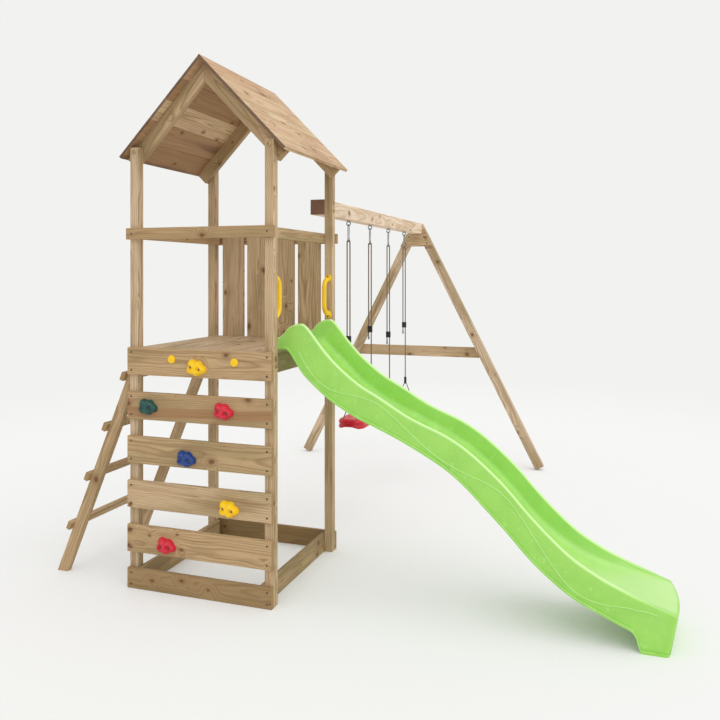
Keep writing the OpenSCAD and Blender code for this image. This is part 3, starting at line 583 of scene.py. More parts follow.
@dataclass(frozen=True)
class MouldedPlastic:
    """Moulded polyethylene or nylon: one colour through, a soft gloss and a fine mould texture."""

    name: str
    colour: str
    shade: str
    roughness: float = 0.38
    # How much the texture takes from the roughness and adds to it
    roughness_range: Pair = (-0.06, 0.1)
    # Faint clouds of the shade: how many to a metre, then from, to and share
    clouds: float = 9.0
    cloud_range: Triple = (0.35, 0.7, 0.6)
    # Colour that a painted highlight is mixed to, where a piece carries a share of it
    rubbed: str = "#ffffff"
    # Small pale scuffs: how strong, how far apart in mm, and from and to
    scuff: float = 0.0
    scuff_apart: float = 26.0
    scuff_range: Pair = (0.52, 0.74)
    scuff_rough: float = 0.7
    # The mould's own grit is under 1 mm, so it is drawn coarser; its height is in metres
    grit: float = 5.0
    relief: float = 0.00025
    relief_share: float = 0.3
    ior: float = 1.5

    def highlight_and_scuffs(self, add: Adder, place: Source) -> Source:
        """Adds where the surface is painted pale: a painted highlight where a piece carries one,
        and small pale scuffs of wear.

        Args:
            add: the function that adds nodes.
            place: Object coordinates.

        Returns:
            The share that is pale.
        """
        # The share of painted highlight that a piece carries, such as on the slide's rims and lower
        # bed
        rub = add("ShaderNodeAttribute", attribute_name="rub").outputs["Fac"]
        if not self.scuff:
            return rub
        scratch = add(
            "ShaderNodeTexNoise",
            {
                "Vector": place,
                "Scale": MM / self.scuff_apart,
                "Detail": 4.0,
                "Roughness": self.scuff_rough,
            },
        )
        low, high = self.scuff_range
        spot = add(
            "ShaderNodeMapRange",
            {"Value": scratch, "From Min": low, "From Max": high, "To Max": self.scuff},
            interpolation_type="SMOOTHSTEP",
        )
        return add("ShaderNodeMath", {0: rub, 1: spot}, operation="MAXIMUM")

    def build(self) -> Material:
        """Makes the material on Object coordinates.

        Returns:
            The material.
        """
        material, add = new_material(self.name)
        place = add("ShaderNodeTexCoord").outputs["Object"]
        cloud = add("ShaderNodeTexNoise", {"Vector": place, "Scale": self.clouds, "Detail": 3.0})
        low, high, most = self.cloud_range
        shade = add(
            "ShaderNodeMapRange",
            {"Value": cloud, "From Min": low, "From Max": high, "To Max": most},
        )
        colour = linear(self.colour)
        # The second layer pales the colour with the painted highlight and the scuffs
        for share, other in ((shade, self.shade), (self.highlight_and_scuffs(add, place), self.rubbed)):
            colour = add(
                "ShaderNodeMix", {0: share, MIX_A: colour, MIX_B: linear(other)}, data_type="RGBA"
            ).outputs[MIX_OUT]
        grit = add("ShaderNodeTexNoise", {"Vector": place, "Scale": MM / self.grit, "Detail": 2.0})
        bump = add(
            "ShaderNodeBump",
            {"Strength": self.relief_share, "Distance": self.relief, "Height": grit},
        )
        smooth, dull = (self.roughness + by for by in self.roughness_range)
        rough = add("ShaderNodeMapRange", {"Value": grit, "To Min": smooth, "To Max": dull})
        skin = add(
            "ShaderNodeBsdfPrincipled",
            {"Base Color": colour, "Roughness": rough, "IOR": self.ior, "Normal": bump},
        )
        add("ShaderNodeOutputMaterial", {0: skin})
        return material


@dataclass(frozen=True)
class GalvanizedSteel:
    """Zinc plated steel: dull grey metal with a faint spangle."""

    name: str = "galvanized_steel"
    colour: str = "#a6aaad"
    shade: str = "#7d8285"
    spangle: float = 4.0
    rough: Pair = (0.32, 0.5)

    def build(self) -> Material:
        """Makes the material on Object coordinates.

        Returns:
            The material.
        """
        material, add = new_material(self.name)
        place = add("ShaderNodeTexCoord").outputs["Object"]
        cells = add("ShaderNodeTexVoronoi", {"Vector": place, "Scale": MM / self.spangle})
        grey, gloss, _ = add("ShaderNodeSeparateColor", {0: cells.outputs["Color"]}).outputs
        colour = add(
            "ShaderNodeMix",
            {0: grey, MIX_A: linear(self.colour), MIX_B: linear(self.shade)},
            data_type="RGBA",
        )
        smooth, dull = self.rough
        rough = add("ShaderNodeMapRange", {"Value": gloss, "To Min": smooth, "To Max": dull})
        skin = add(
            "ShaderNodeBsdfPrincipled",
            {"Base Color": colour.outputs[MIX_OUT], "Metallic": 1.0, "Roughness": rough},
        )
        add("ShaderNodeOutputMaterial", {0: skin})
        return material


@dataclass(frozen=True)
class LaidRope:
    """Three strand polypropylene rope: hairy brown-grey yarns that lie along their strands."""

    name: str = "laid_polypropylene_rope"
    colour: str = "#87725e"
    # Colour laid into the grooves between the strands as painted shade
    shade: str = "#57473b"
    pale: str = "#a18d77"
    # Yarns to a strand and along the lay, drawn coarser than they are so that they show
    yarns: Triple = (26.0, 90.0, 0.0)
    yarn_range: Pair = (0.35, 0.75)
    # Height of a yarn in metres, and how strongly it shows
    relief: float = 0.0005
    relief_share: float = 0.5
    roughness: float = 0.85
    fuzz: float = 0.15

    def build(self) -> Material:
        """Makes the material on the rope's own lay attribute: round, along and groove, the last
        darkened as painted shade.

        Returns:
            The material.
        """
        material, add = new_material(self.name)
        lay = add("ShaderNodeAttribute", attribute_name="lay").outputs["Vector"]
        groove = add("ShaderNodeSeparateXYZ", {0: lay}).outputs["Z"]
        at = add("ShaderNodeVectorMath", {0: lay, 1: self.yarns}, operation="MULTIPLY")
        yarn = add("ShaderNodeTexNoise", {"Vector": at, "Scale": 1.0, "Detail": 3.0})
        low, high = self.yarn_range
        light = add("ShaderNodeMapRange", {"Value": yarn, "From Min": low, "From Max": high})
        colour = linear(self.colour)
        # The yarns pale the colour, and the grooves between strands are darkened as painted shade
        for share, other in ((light, self.pale), (groove, self.shade)):
            colour = add(
                "ShaderNodeMix", {0: share, MIX_A: colour, MIX_B: linear(other)}, data_type="RGBA"
            ).outputs[MIX_OUT]
        bump = add(
            "ShaderNodeBump",
            {"Strength": self.relief_share, "Distance": self.relief, "Height": yarn},
        )
        skin = add(
            "ShaderNodeBsdfPrincipled",
            {
                "Base Color": colour,
                "Roughness": self.roughness,
                "Sheen Weight": self.fuzz,
                "Normal": bump,
            },
        )
        add("ShaderNodeOutputMaterial", {0: skin})
        return material


class Look(Enum):
    """Every finish of the tower, with the record's slot that it fills."""

    PINE = (PineTimber(), Slot.TIMBER)
    # Roof boards: redder, with broad dark heartwood
    ROOF = (
        PineTimber(
            name="roof_pine",
            pale="#ecd4ac",
            sap="#e2bd9a",
            deep="#a1805a",
            heart="#6c5546",
            stain="#bf9a74",
            streak="#9c7454",
            latewood="#97704e",
            end="#5c4736",
        ),
        Slot.ROOF,
    )
    # Boards that lie on the ground and look a little darker
    GROUND = (
        PineTimber(
            name="damp_pine",
            sap="#c8ab80",
            deep="#9d825a",
            heart="#9c7a55",
            stain="#857651",
            streak="#7f6444",
        ),
        Slot.TIMBER,
    )
    # Swing beam: pale and even, with a dark brown end
    BEAM = (
        PineTimber(
            name="beam_pine",
            pale="#f5e2ca",
            sap="#e2c8a4",
            streak="#c9a884",
            stain="#d0b48c",
            latewood="#b8946c",
            end="#5f2f1c",
        ),
        Slot.TIMBER,
    )
    # Moulded slide: glossy, with a painted highlight on its rims and lower bed, and pale scuffs of
    # wear
    LIME = (
        MouldedPlastic(
            "lime_polyethylene", "#a0dc5e", "#90cd53", 0.3, rubbed="#d2f5a8", scuff=0.35
        ),
        Slot.LIME,
    )
    # Wave and flange beads of the slide: a paler lime, as a painted highlight along the raised
    # lines
    PALE_LIME = (MouldedPlastic("rubbed_lime_edge", "#b6ea84", "#acdf7a"), Slot.LIME)
    # Handles, caps, stones and seats: plain moulded colours with a soft gloss
    YELLOW = (MouldedPlastic("yellow_polyethylene", "#fccd00", "#f4c000"), Slot.YELLOW)
    RED = (MouldedPlastic("red_polyethylene", "#d6203a", "#c41a31"), Slot.RED)
    SEAT = (MouldedPlastic("seat_polyethylene", "#cc0d27", "#b40a20", 0.32), Slot.RED)
    GREEN = (MouldedPlastic("green_polyethylene", "#1a5049", "#15443e"), Slot.GREEN)
    BLUE = (MouldedPlastic("blue_polyethylene", "#184088", "#143777"), Slot.BLUE)
    # Hooks and eyes grey, screws dulled, bolts with the tan of yellow zinc
    STEEL = (GalvanizedSteel(), Slot.STEEL)
    SCREW = (GalvanizedSteel("dulled_zinc", "#6f6a63", "#4c4843"), Slot.STEEL)
    ZINC = (GalvanizedSteel("yellow_passivated_zinc", "#c2a983", "#9a835f"), Slot.STEEL)
    # Moulded nylon adjusters and sleeves: almost black and a little duller
    BLACK = (MouldedPlastic("black_nylon", "#1c1c1d", "#141415", 0.45), Slot.BLACK)
    ROPE = (LaidRope(), Slot.ROPE)

    @property
    def slot(self) -> Slot:
        """The record's material slot."""
        return self.value[1]

    @lru_cache(maxsize=None)
    def material(self) -> Material:
        """Makes the material when it is first asked for."""
        return self.value[0].build()


# Timber


@dataclass(frozen=True)
class Tone:
    """Ranges that a lot's timbers draw their darkness, heartwood and paleness from."""

    deep: Pair = (0.1, 0.8)
    heart: Pair = (0.0, 0.8)
    pale: Pair = (0.0, 0.25)


@dataclass(frozen=True)
class TimberLot:
    """Timbers of one kind: the solids with eased edges, each with a grain of its own."""

    nodes: tuple[str, ...]
    tone: Tone
    seed: int
    look: Look = Look.PINE
    ease: float = 1.6
    # How far off the middle the pith may lie, as a share of the width and in metres past a face
    pith_across: float = 0.4
    pith_past: Pair = (-0.004, 0.05)
    # Metres along the grain's pattern where a timber may start, and how far its grain may slope
    start: float = 40.0
    slope: float = 0.03
    # Darkness, heartwood and paleness of each timber, left to right, where they are set
    shades: tuple[Triple, ...] = ()

    def axes(self, group: Faces) -> tuple[Vector, Vector, Vector]:
        """Finds a timber's own directions from its longest edges.

        Args:
            group: the timber's faces.

        Returns:
            Unit vectors along the timber, across it and through it.
        """
        # Edges of one length are put in order of place, so that each run picks the same one
        edges = sorted(
            {e for f in group for e in f.edges},
            key=lambda e: (
                -round(e.calc_length(), DECIMALS),
                *(round(x, DECIMALS) for x in e.verts[0].co + e.verts[1].co),
            ),
        )
        ways = [headed(e.verts[1].co - e.verts[0].co) for e in edges]
        along = ways[0]
        across = next(way for way in ways if abs(way.dot(along)) < CROSSWISE)
        across = (across - along * across.dot(along)).normalized()
        return along, across, along.cross(across)

    def grow(self, shape: Shape, draw: np.random.Generator, shades: Iterator) -> None:
        """Writes each timber's grain, tone, cut ends and edges as attributes.

        Args:
            shape: the timbers' mesh.
            draw: the lot's own random numbers.
            shades: the tones that are set, of the timbers still to come.
        """
        grain = shape.verts.layers.float_vector.new("grain")
        tone = shape.verts.layers.float_vector.new("tone")
        end = shape.faces.layers.float.new("end")
        side = shape.faces.layers.float.new("side")
        for group in islands(shape):
            axes = self.axes(group)
            corners = {v for f in group for v in f.verts}
            spans = [[v.co.dot(a) for v in corners] for a in axes]
            middle = [(max(s) + min(s)) / 2 for s in spans]
            wide, thick = (max(s) - min(s) for s in spans[1:])
            pith = (
                draw.uniform(-self.pith_across, self.pith_across) * wide,
                draw.choice((-1, 1)) * (thick / 2 + draw.uniform(*self.pith_past)),
            )
            start = draw.uniform(0, self.start)
            slope = draw.uniform(-self.slope, self.slope, 2)
            shade = (
                draw.uniform(*self.tone.deep),
                draw.uniform(*self.tone.heart),
                draw.uniform(*self.tone.pale),
            )
            shade = next(shades, shade)
            for vert in corners:
                u, v, w = (vert.co.dot(a) - m for a, m in zip(axes, middle))
                vert[grain] = (u + start, v - pith[0] + u * slope[0], w - pith[1] + u * slope[1])
                vert[tone] = shade
            for face in group:
                face[end] = float(abs(face.normal.dot(axes[0])) > FACING)
                face[side] = float(abs(face.normal.dot(axes[1])) > FACING)

    def build(self) -> None:
        """Makes a piece for each of the lot's solids."""
        draw = np.random.default_rng(self.seed)
        shades = iter(self.shades)
        for node in self.nodes:
            shape = merged_copy(node, self.ease)
            shape.normal_update()
            self.grow(shape, draw, shades)
            finish_piece(shape_object("dressed_" + node, shape), self.look, Body.FRAME, node)


@dataclass(frozen=True)
class Timbers:
    """All the timber of the tower and of the swing frame, in lots that look alike."""

    lots: tuple[TimberLot, ...] = (
        TimberLot(
            ("post_front_left", "post_front_right", "post_back_left", "post_back_right"),
            Tone(deep=(0.0, 0.2), heart=(0.0, 0.5), pale=(0.1, 0.3)),
            11,
            shades=((0.0, 0.2, 0.5),),
        ),
        TimberLot(
            tuple(f"climbing_board_{i}" for i in range(1, 6)),
            Tone(),
            23,
            shades=(
                (0.35, 0.5, 0.0),
                (0.5, 0.55, 0.0),
                (0.25, 0.6, 0.0),
                (0.1, 0.35, 0.2),
                (0.35, 0.5, 0.0),
            ),
        ),
        TimberLot(
            ("guard_rail_front", "guard_rail_back", "guard_rails_side"),
            Tone(),
            41,
            shades=((0.7, 0.25, 0.0), (0.1, 0.1, 0.15), (0.4, 0.2, 0.0), (0.4, 0.3, 0.0)),
        ),
        TimberLot(
            ("back_panel_boards", "back_panel_rail"), Tone(deep=(0.0, 0.3), heart=(0.1, 0.5)), 53
        ),
        TimberLot(
            ("platform_bearers", "platform_joists", "platform_planks"),
            Tone(deep=(0.0, 0.25), heart=(0.1, 0.4), pale=(0.3, 0.5)),
            61,
        ),
        TimberLot(("rafters",), Tone(deep=(0.2, 0.6), heart=(0.0, 0.4)), 71),
        TimberLot(
            ("ladder_stringers", "ladder_rungs"), Tone(deep=(0.3, 0.6), heart=(0.1, 0.4)), 83
        ),
        TimberLot(
            ("leg_left", "leg_right", "leg_cross_boards", "leg_spreader"),
            Tone(),
            101,
            shades=(
                (0.1, 0.0, 0.6), (0.1, 0.0, 0.6), (0.2, 0.2, 0.2), (0.2, 0.2, 0.2), (0.1, 0.3, 0.2)
            ),
        ),
        TimberLot(
            ("sandpit_board_front", "sandpit_board_back", "sandpit_boards_side"),
            Tone(),
            31,
            Look.GROUND,
            shades=((0.8, 0.3, 0.0), (0.9, 0.4, 0.0), (0.3, 0.3, 0.1), (0.3, 0.2, 0.1)),
        ),
        TimberLot(
            ("swing_beam",),
            Tone(deep=(0.0, 0.0), heart=(0.0, 0.0), pale=(0.9, 1.0)),
            97,
            Look.BEAM,
        ),
        TimberLot(
            ("roof_planks_left",),
            Tone(),
            113,
            Look.ROOF,
            shades=((0.9, 0.5, 0), (0.7, 0.8, 0), (0, 0, 0.8), (0.8, 0.7, 0), (0.5, 0.3, 0.2)),
        ),
        TimberLot(
            ("roof_planks_right",),
            Tone(),
            127,
            Look.ROOF,
            shades=((0.1, 0.1, 0.2), (0, 0, 0.5), (0, 0, 1), (0.1, 0.5, 0.3), (0, 0, 0.8)),
        ),
    )

    def build(self) -> None:
        """Makes every timber."""
        for lot in self.lots:
            lot.build()


# Slide


@dataclass(frozen=True)
class WaveSlide:
    """The moulded slide: a trough with rolled rims, a foot and raised wave beads."""

    width: float = 460.0
    start: float = 330.0
    length: float = 1874.0
    middle: float = 343.0
    height: float = 1235.0
    # The trough: its wall, flange and rolled rim, and the slope, fillet and dish of its bed
    shell: float = 5.0
    flange_w: float = 7.0
    flange_h: float = 12.0
    rim_w: float = 30.0
    rim_r: float = 12.0
    draft: float = 10.0
    fillet: float = 45.0
    dish: float = 4.0
    # How far the run-out's end bulges and leans, and the share of the run where that starts
    bulge: float = 25.0
    lean: float = 32.0
    bulge_share: float = 0.9
    # Stations to a row of the table, and steps of a rounded corner
    steps: int = 6
    arc: int = 6
    # Wave beads: their width, and their wave as shares of the run and of the wall's height
    bead: float = 6.0
    bead_from: float = 0.08
    bead_to: float = 0.965
    bead_period: float = 0.33
    bead_trough: float = 0.135
    bead_middle: float = 0.48
    bead_swing: float = 0.34
    flange_bead: float = 4.0
    end_r: float = 14.0
    end_steps: int = 5
    # Painted highlight on the rims: the wall that it takes and how far down; then the painted
    # highlight on the lower bed, its share and where along the run it starts
    rub_wall: float = 50.0
    rub_deep: float = 16.0
    bed_highlight: float = 0.55
    bed_highlight_from: float = 0.55
    # Degrees over which an edge of the shell and of its beads stays sharp
    crease: float = 38.0
    bead_crease: float = 60.0
    # Share of the run from which the end's rounding draws the shell in
    end_from: float = 0.95
    # Share of the dish halfway from the bed's middle to its side
    dish_half: float = 0.75
    # Least height of a bead's foot, as a share of the platform's
    bead_low: float = 0.05
    # How far the flange's bead sits in from the flange's edges
    flange_in: float = 1.0
    # Share of the run, then rim, bed and lower edge as shares of the platform's height
    rows: tuple[Quad, ...] = (
        (0.000, 1.040, 1.008, 1.000),
        (0.028, 1.054, 1.008, 1.000),
        (0.052, 1.090, 1.005, 1.000),
        (0.077, 1.104, 0.990, 0.950),
        (0.100, 1.095, 0.960, 0.902),
        (0.146, 1.010, 0.893, 0.839),
        (0.188, 0.944, 0.834, 0.793),
        (0.246, 0.875, 0.772, 0.745),
        (0.304, 0.825, 0.728, 0.708),
        (0.383, 0.756, 0.676, 0.653),
        (0.470, 0.700, 0.610, 0.580),
        (0.523, 0.653, 0.555, 0.518),
        (0.573, 0.593, 0.488, 0.444),
        (0.623, 0.522, 0.410, 0.368),
        (0.688, 0.415, 0.305, 0.264),
        (0.768, 0.303, 0.222, 0.167),
        (0.835, 0.240, 0.184, 0.117),
        (0.880, 0.208, 0.172, 0.087),
        (0.912, 0.187, 0.165, 0.062),
        (0.928, 0.178, 0.161, 0.000),
        (0.950, 0.165, 0.154, 0.000),
        (0.975, 0.150, 0.146, 0.000),
        (1.000, 0.136, 0.136, 0.000),
    )

    def row(self, k: int) -> np.ndarray:
        """Reads the table on a smooth curve.

        Args:
            k: number of the station.

        Returns:
            Share of the run, rim, bed and lower edge.
        """
        table = np.array(self.rows)
        i, t = k // self.steps, (k % self.steps) / self.steps
        a, b, c, d = (table[min(max(j, 0), len(table) - 1)] for j in range(i - 1, i + 3))
        bend = (2 * a - 5 * b + 4 * c - d) + t * (3 * (b - c) + d - a)
        return np.maximum(0.0, b + t * ((c - a) + t * bend) / 2)

    def stations(self) -> list[np.ndarray]:
        """Reads every station of the run."""
        return [self.row(k) for k in range((len(self.rows) - 1) * self.steps + 1)]

    def outline(self, row: np.ndarray, inside: bool) -> np.ndarray:
        """Draws the section at a station, over its whole width.

        Args:
            row: the station's share and heights.
            inside: whether it is the underside, one wall further in.

        Returns:
            Places across and up.
        """
        rim, bed, low = row[1:] * self.height
        t = self.shell if inside else 0.0
        face = self.flange_w - self.width / 2
        top = face + self.draft
        inner = top + self.rim_w
        foot = inner + self.draft
        drop = min(self.rim_r, (rim - bed) / 2)
        fillet = min(self.fillet, (rim - bed) / 2)
        crown = rim - t
        sweep = np.radians(np.linspace(0, 90, self.arc + 1))
        if inside:
            half = [(face + t, low), (face + t, low + self.flange_h / 2)]
            half.append((face + t, low + self.flange_h + t))
        else:
            half = [(-self.width / 2, low), (-self.width / 2, low + self.flange_h)]
            half.append((face, low + self.flange_h))
        for angles, across, reach, level, rise in (
            (sweep, top + self.rim_r, t - self.rim_r, rim - drop, drop - t),
            (sweep[::-1], inner - self.rim_r, self.rim_r - t, rim - drop, drop - t),
            (sweep, foot + self.fillet, -self.fillet - t, bed + fillet, -fillet - t),
        ):
            for a in angles:
                z = min(crown, level + rise * math.sin(a))
                half.append((across + reach * math.cos(a), z))
        sag = self.dish * (rim - bed) / rim
        half.append((half[-1][0] / 2, bed - t - sag * self.dish_half))
        half.append((0.0, bed - t - sag))
        return np.array(half + [(-y, z) for y, z in half[-2::-1]])

    def place(self, outline: np.ndarray, row: np.ndarray, push: float) -> np.ndarray:
        """Sets an outline on its station; the run-out's end bulges and leans out.

        Args:
            outline: places across and up.
            row: the station's share and heights.
            push: how far it is moved on along the run.

        Returns:
            Tower places.
        """
        part = (max(0.0, row[0] - self.bulge_share) / (1 - self.bulge_share)) ** 2
        y, z = outline[:, 0], outline[:, 1]
        out = self.bulge * (1 - (2 * y / self.width) ** 2)
        back = self.lean * (1 - z / (row[1] * self.height))
        x = self.start + row[0] * self.length + push + part * (out - back)
        return np.stack([x, self.middle + y, z], axis=1)

    def drawn_in(self, outline: np.ndarray, share: float) -> np.ndarray:
        """Draws an outline in towards its foot, for the rounded edge of the end wall.

        Args:
            outline: places across and up.
            share: how much of the rounding's radius it is drawn in by.

        Returns:
            Places across and up.
        """
        by = self.end_r * share
        return outline * (1 - by / (self.width / 2), 1 - by / outline[:, 1].max())

    def shell_mesh(self) -> tuple[np.ndarray, list]:
        """Lofts both skins of the shell and closes its edges and its end wall.

        Returns:
            Tower places and faces.
        """
        rows = self.stations()
        upper = [self.outline(r, False) for r in rows]
        under = [self.outline(r, True) for r in rows]
        n, edge, last = len(upper[0]), 3, rows[-1]
        m = n - 1
        rings = []
        for outline, row in zip(upper, rows):
            near = max(0.0, (row[0] - self.end_from) / (1 - self.end_from)) ** 2
            rings.append(self.place(outline, row, near * (self.shell - self.end_r)))
        for a in np.radians(np.linspace(0, 90, self.end_steps + 1))[1:]:
            push = self.shell - self.end_r * (1 - math.sin(a))
            rings.append(self.place(self.drawn_in(upper[-1], 1 - math.cos(a)), last, push))
        s, w = len(rings) - 1, len(rows) - 1
        rings += [self.place(o, r, 0.0) for o, r in zip(under, rows)]
        floor_out = self.drawn_in(upper[-1], 1.0)[edge : n - edge] * (1.0, 0.0)
        floor_in = under[-1][edge : n - edge] * (1.0, 0.0)
        rings.append(self.place(floor_out, last, self.shell))
        rings.append(self.place(floor_in, last, 0.0))
        # Numbers of the places on both skins, and at the end wall's foot outside and inside
        u = np.arange((s + 1) * n).reshape(-1, n)
        v = u.size + np.arange((w + 1) * n).reshape(-1, n)
        f = u.size + v.size - edge + np.arange(n)
        g = f + n - 2 * edge
        faces: list = []
        for j in range(m):
            faces += [(u[k, j], u[k, j + 1], u[k + 1, j + 1], u[k + 1, j]) for k in range(s)]
            faces += [(v[k, j], v[k + 1, j], v[k + 1, j + 1], v[k, j + 1]) for k in range(w)]
            faces.append((u[0, j], v[0, j], v[0, j + 1], u[0, j + 1]))
        for k in range(w):
            faces.append((u[k, 0], u[k + 1, 0], v[k + 1, 0], v[k, 0]))
            faces.append((u[k, m], v[k, m], v[k + 1, m], u[k + 1, m]))
        for k in range(w, s):
            faces.append((u[k, 0], u[k + 1, 0], v[w, 0]))
            faces.append((u[k, m], v[w, m], u[k + 1, m]))
        for j in range(edge, m - edge):
            faces.append((u[s, j], u[s, j + 1], f[j + 1], f[j]))
            faces.append((v[w, j], g[j], g[j + 1], v[w, j + 1]))
            faces.append((f[j], f[j + 1], g[j + 1], g[j]))
        for j in range(1, edge):
            faces.append((u[s, 0], u[s, j], u[s, j + 1]))
            faces.append((u[s, m], u[s, m - j - 1], u[s, m - j]))
            faces.append((v[w, edge], v[w, j], v[w, j - 1]))
            faces.append((v[w, m - edge], v[w, m - j + 1], v[w, m - j]))
        faces += [
            (u[s, 0], u[s, edge], f[edge]),
            (u[s, m], f[m - edge], u[s, m - edge]),
            (v[w, 0], g[edge], v[w, edge]),
            (v[w, m], v[w, m - edge], g[m - edge]),
            (u[s, 0], f[edge], g[edge], v[w, 0]),
            (u[s, m], v[w, m], g[m - edge], f[m - edge]),
        ]
        return np.concatenate(rings), faces

    def rub(self, count: int) -> np.ndarray:
        """Finds how far each place of the shell is painted pale as a highlight: along the rims and
        the lower bed.

        Args:
            count: number of the shell's places.

        Returns:
            A share for each place.
        """
        shares = []
        for row in self.stations():
            rim, bed = row[1] * self.height, row[2] * self.height
            wall = min(1.0, max(0.0, (rim - bed) / self.rub_wall))
            across, high = self.outline(row, False).T
            # Painted highlight near the top of each rim, and on the middle of the lower bed
            edge = wall * np.clip(1 - (rim - high) / self.rub_deep, 0, 1) ** 2
            inner = np.clip((self.width / 2 - self.rim_w - np.abs(across)) / self.rub_wall, 0, 1)
            run = np.clip((row[0] - self.bed_highlight_from) / (1 - self.bed_highlight_from), 0, 1)
            shares.append(np.maximum(edge, self.bed_highlight * run * inner))
        along = np.concatenate(shares)
        return np.concatenate([along, np.zeros(count - len(along))])

    def bead_lines(self, side: int) -> tuple[np.ndarray, np.ndarray]:
        """Draws the lines that the beads follow on one outer wall.

        Args:
            side: -1 for the near wall, 1 for the far one.

        Returns:
            Tower places along the wave, and along the flange's upper edge.
        """
        wave, flange = [], []
        for row in self.stations():
            base = row[3] * self.height + self.flange_h
            spots = []
            if row[0] < self.bead_to:
                y, z = self.width / 2 - self.flange_in, base - self.flange_in
                spots.append((flange, y, z))
            if self.bead_from <= row[0] <= self.bead_to:
                turn = 2 * math.pi * (row[0] - self.bead_trough) / self.bead_period
                low = max(row[3], self.bead_low) * self.height + self.flange_h
                top = row[1] * self.height - self.rim_r
                z = low + (self.bead_middle - self.bead_swing * math.cos(turn)) * (top - low)
                y = self.width / 2 - self.flange_w - self.draft * (z - base) / (top - base)
                spots.append((wave, y, z))
            for line, y, z in spots:
                line.append(self.place(np.array([[side * y, z]]), row, 0.0)[0])
        return np.array(wave), np.array(flange)

    def build(self) -> None:
        """Makes the shell and its beads."""
        shell = mesh_object("slide_shell", *self.shell_mesh())
        soften(shell, self.crease)
        # Painted highlight along the rims and the lower bed, as a pale share at each corner
        rub = shell.data.attributes.new("rub", "FLOAT", "POINT")
        rub.data.foreach_set("value", self.rub(len(shell.data.vertices)))
        finish_piece(shell, Look.LIME, Body.FRAME, "slide")
        waves, flanges = zip(*(self.bead_lines(side) for side in (-1, 1)))
        for name, lines, width in (
            ("slide_wave_beads", waves, self.bead),
            ("slide_flange_beads", flanges, self.flange_bead),
        ):
            # The beads take the paler lime, a painted highlight along the raised lines
            beads = BeadTree().along(name, lines, width, Look.PALE_LIME.material())
            soften(beads, self.bead_crease)
            finish_piece(beads, Look.PALE_LIME, Body.FRAME, "slide")


# Trees that repeat a shape or follow a path


def new_tree(name: str, sockets: Sequence[tuple[str, str]]) -> bpy.types.NodeTree:
    """Makes a geometry tree with named inputs and one geometry output.

    Args:
        name: the tree's name.
        sockets: name and kind of each input after the geometry.

    Returns:
        The tree.
    """
    tree = bpy.data.node_groups.new(name, "GeometryNodeTree")
    for label, kind in (("Geometry", "NodeSocketGeometry"), *sockets):
        tree.interface.new_socket(name=label, in_out="INPUT", socket_type=kind)
    tree.interface.new_socket(name="Geometry", in_out="OUTPUT", socket_type="NodeSocketGeometry")
    return tree


def baked(carrier: Piece, tree: bpy.types.NodeTree, values: dict) -> Piece:
    """Runs a tree on a carrier and keeps its result as a plain mesh.

    Args:
        carrier: the object that holds the points or lines; it is removed.
        tree: the geometry tree.
        values: value of each input by its name.

    Returns:
        A new object with the carrier's name.
    """
    modifier = carrier.modifiers.new("repeat", "NODES")
    for item in tree.interface.items_tree:
        if item.in_out == "INPUT" and item.name in values:
            values[item.identifier] = values.pop(item.name)
    modifier.node_group = tree
    for key, value in values.items():
        modifier[key] = value
    seen = carrier.evaluated_get(bpy.context.evaluated_depsgraph_get())
    mesh = bpy.data.meshes.new_from_object(seen)
    name = carrier.name
    carrier.modifiers.remove(modifier)
    bpy.data.objects.remove(carrier)
    mesh.name = name
    return link_object(name, mesh)


def end_tree(add: Adder, shape: Source, finish: Source) -> None:
    """Ends a geometry tree: makes its instances real and gives them their material.

    Args:
        add: the function that adds nodes.
        shape: the geometry.
        finish: the material.
    """
    real = add("GeometryNodeRealizeInstances", {0: shape})
    dressed = add("GeometryNodeSetMaterial", {"Geometry": real, "Material": finish})
    add("NodeGroupOutput", {0: dressed})


@dataclass(frozen=True)
class BeadTree:
    """Sweeps a round bead, half sunk in what carries it, along drawn lines."""

    sides: int = 8

    def along(
        self, name: str, lines: Sequence[np.ndarray], width: float, material: Material
    ) -> Piece:
        """Makes the beads.

        Args:
            name: the piece's name.
            lines: tower places along each bead.
            width: width of the bead in millimetres.
            material: its finish.

        Returns:
            The beads as one object.
        """
        tree = new_tree(
            "bead_along_line", (("Width", "NodeSocketFloat"), ("Finish", "NodeSocketMaterial"))
        )
        add = partial(add_node, tree)
        given = add("NodeGroupInput")
        half = add("ShaderNodeMath", {0: given.outputs["Width"], 1: 0.5}, operation="MULTIPLY")
        curve = add("GeometryNodeMeshToCurve", {0: given.outputs["Geometry"]})
        ring = add("GeometryNodeCurvePrimitiveCircle", {"Resolution": self.sides, "Radius": half})
        swept = add(
            "GeometryNodeCurveToMesh", {"Curve": curve, "Profile Curve": ring, "Fill Caps": True}
        )
        end_tree(add, swept, given.outputs["Finish"])
        points, edges = [], []
        for line in lines:
            first = len(points)
            points += to_metres(line).tolist()
            edges += [(first + i, first + i + 1) for i in range(len(line) - 1)]
        mesh = bpy.data.meshes.new(name)
        mesh.from_pydata(points, edges, [])
        values = {"Width": width / MM, "Finish": material}
        return baked(link_object(name, mesh), tree, values)


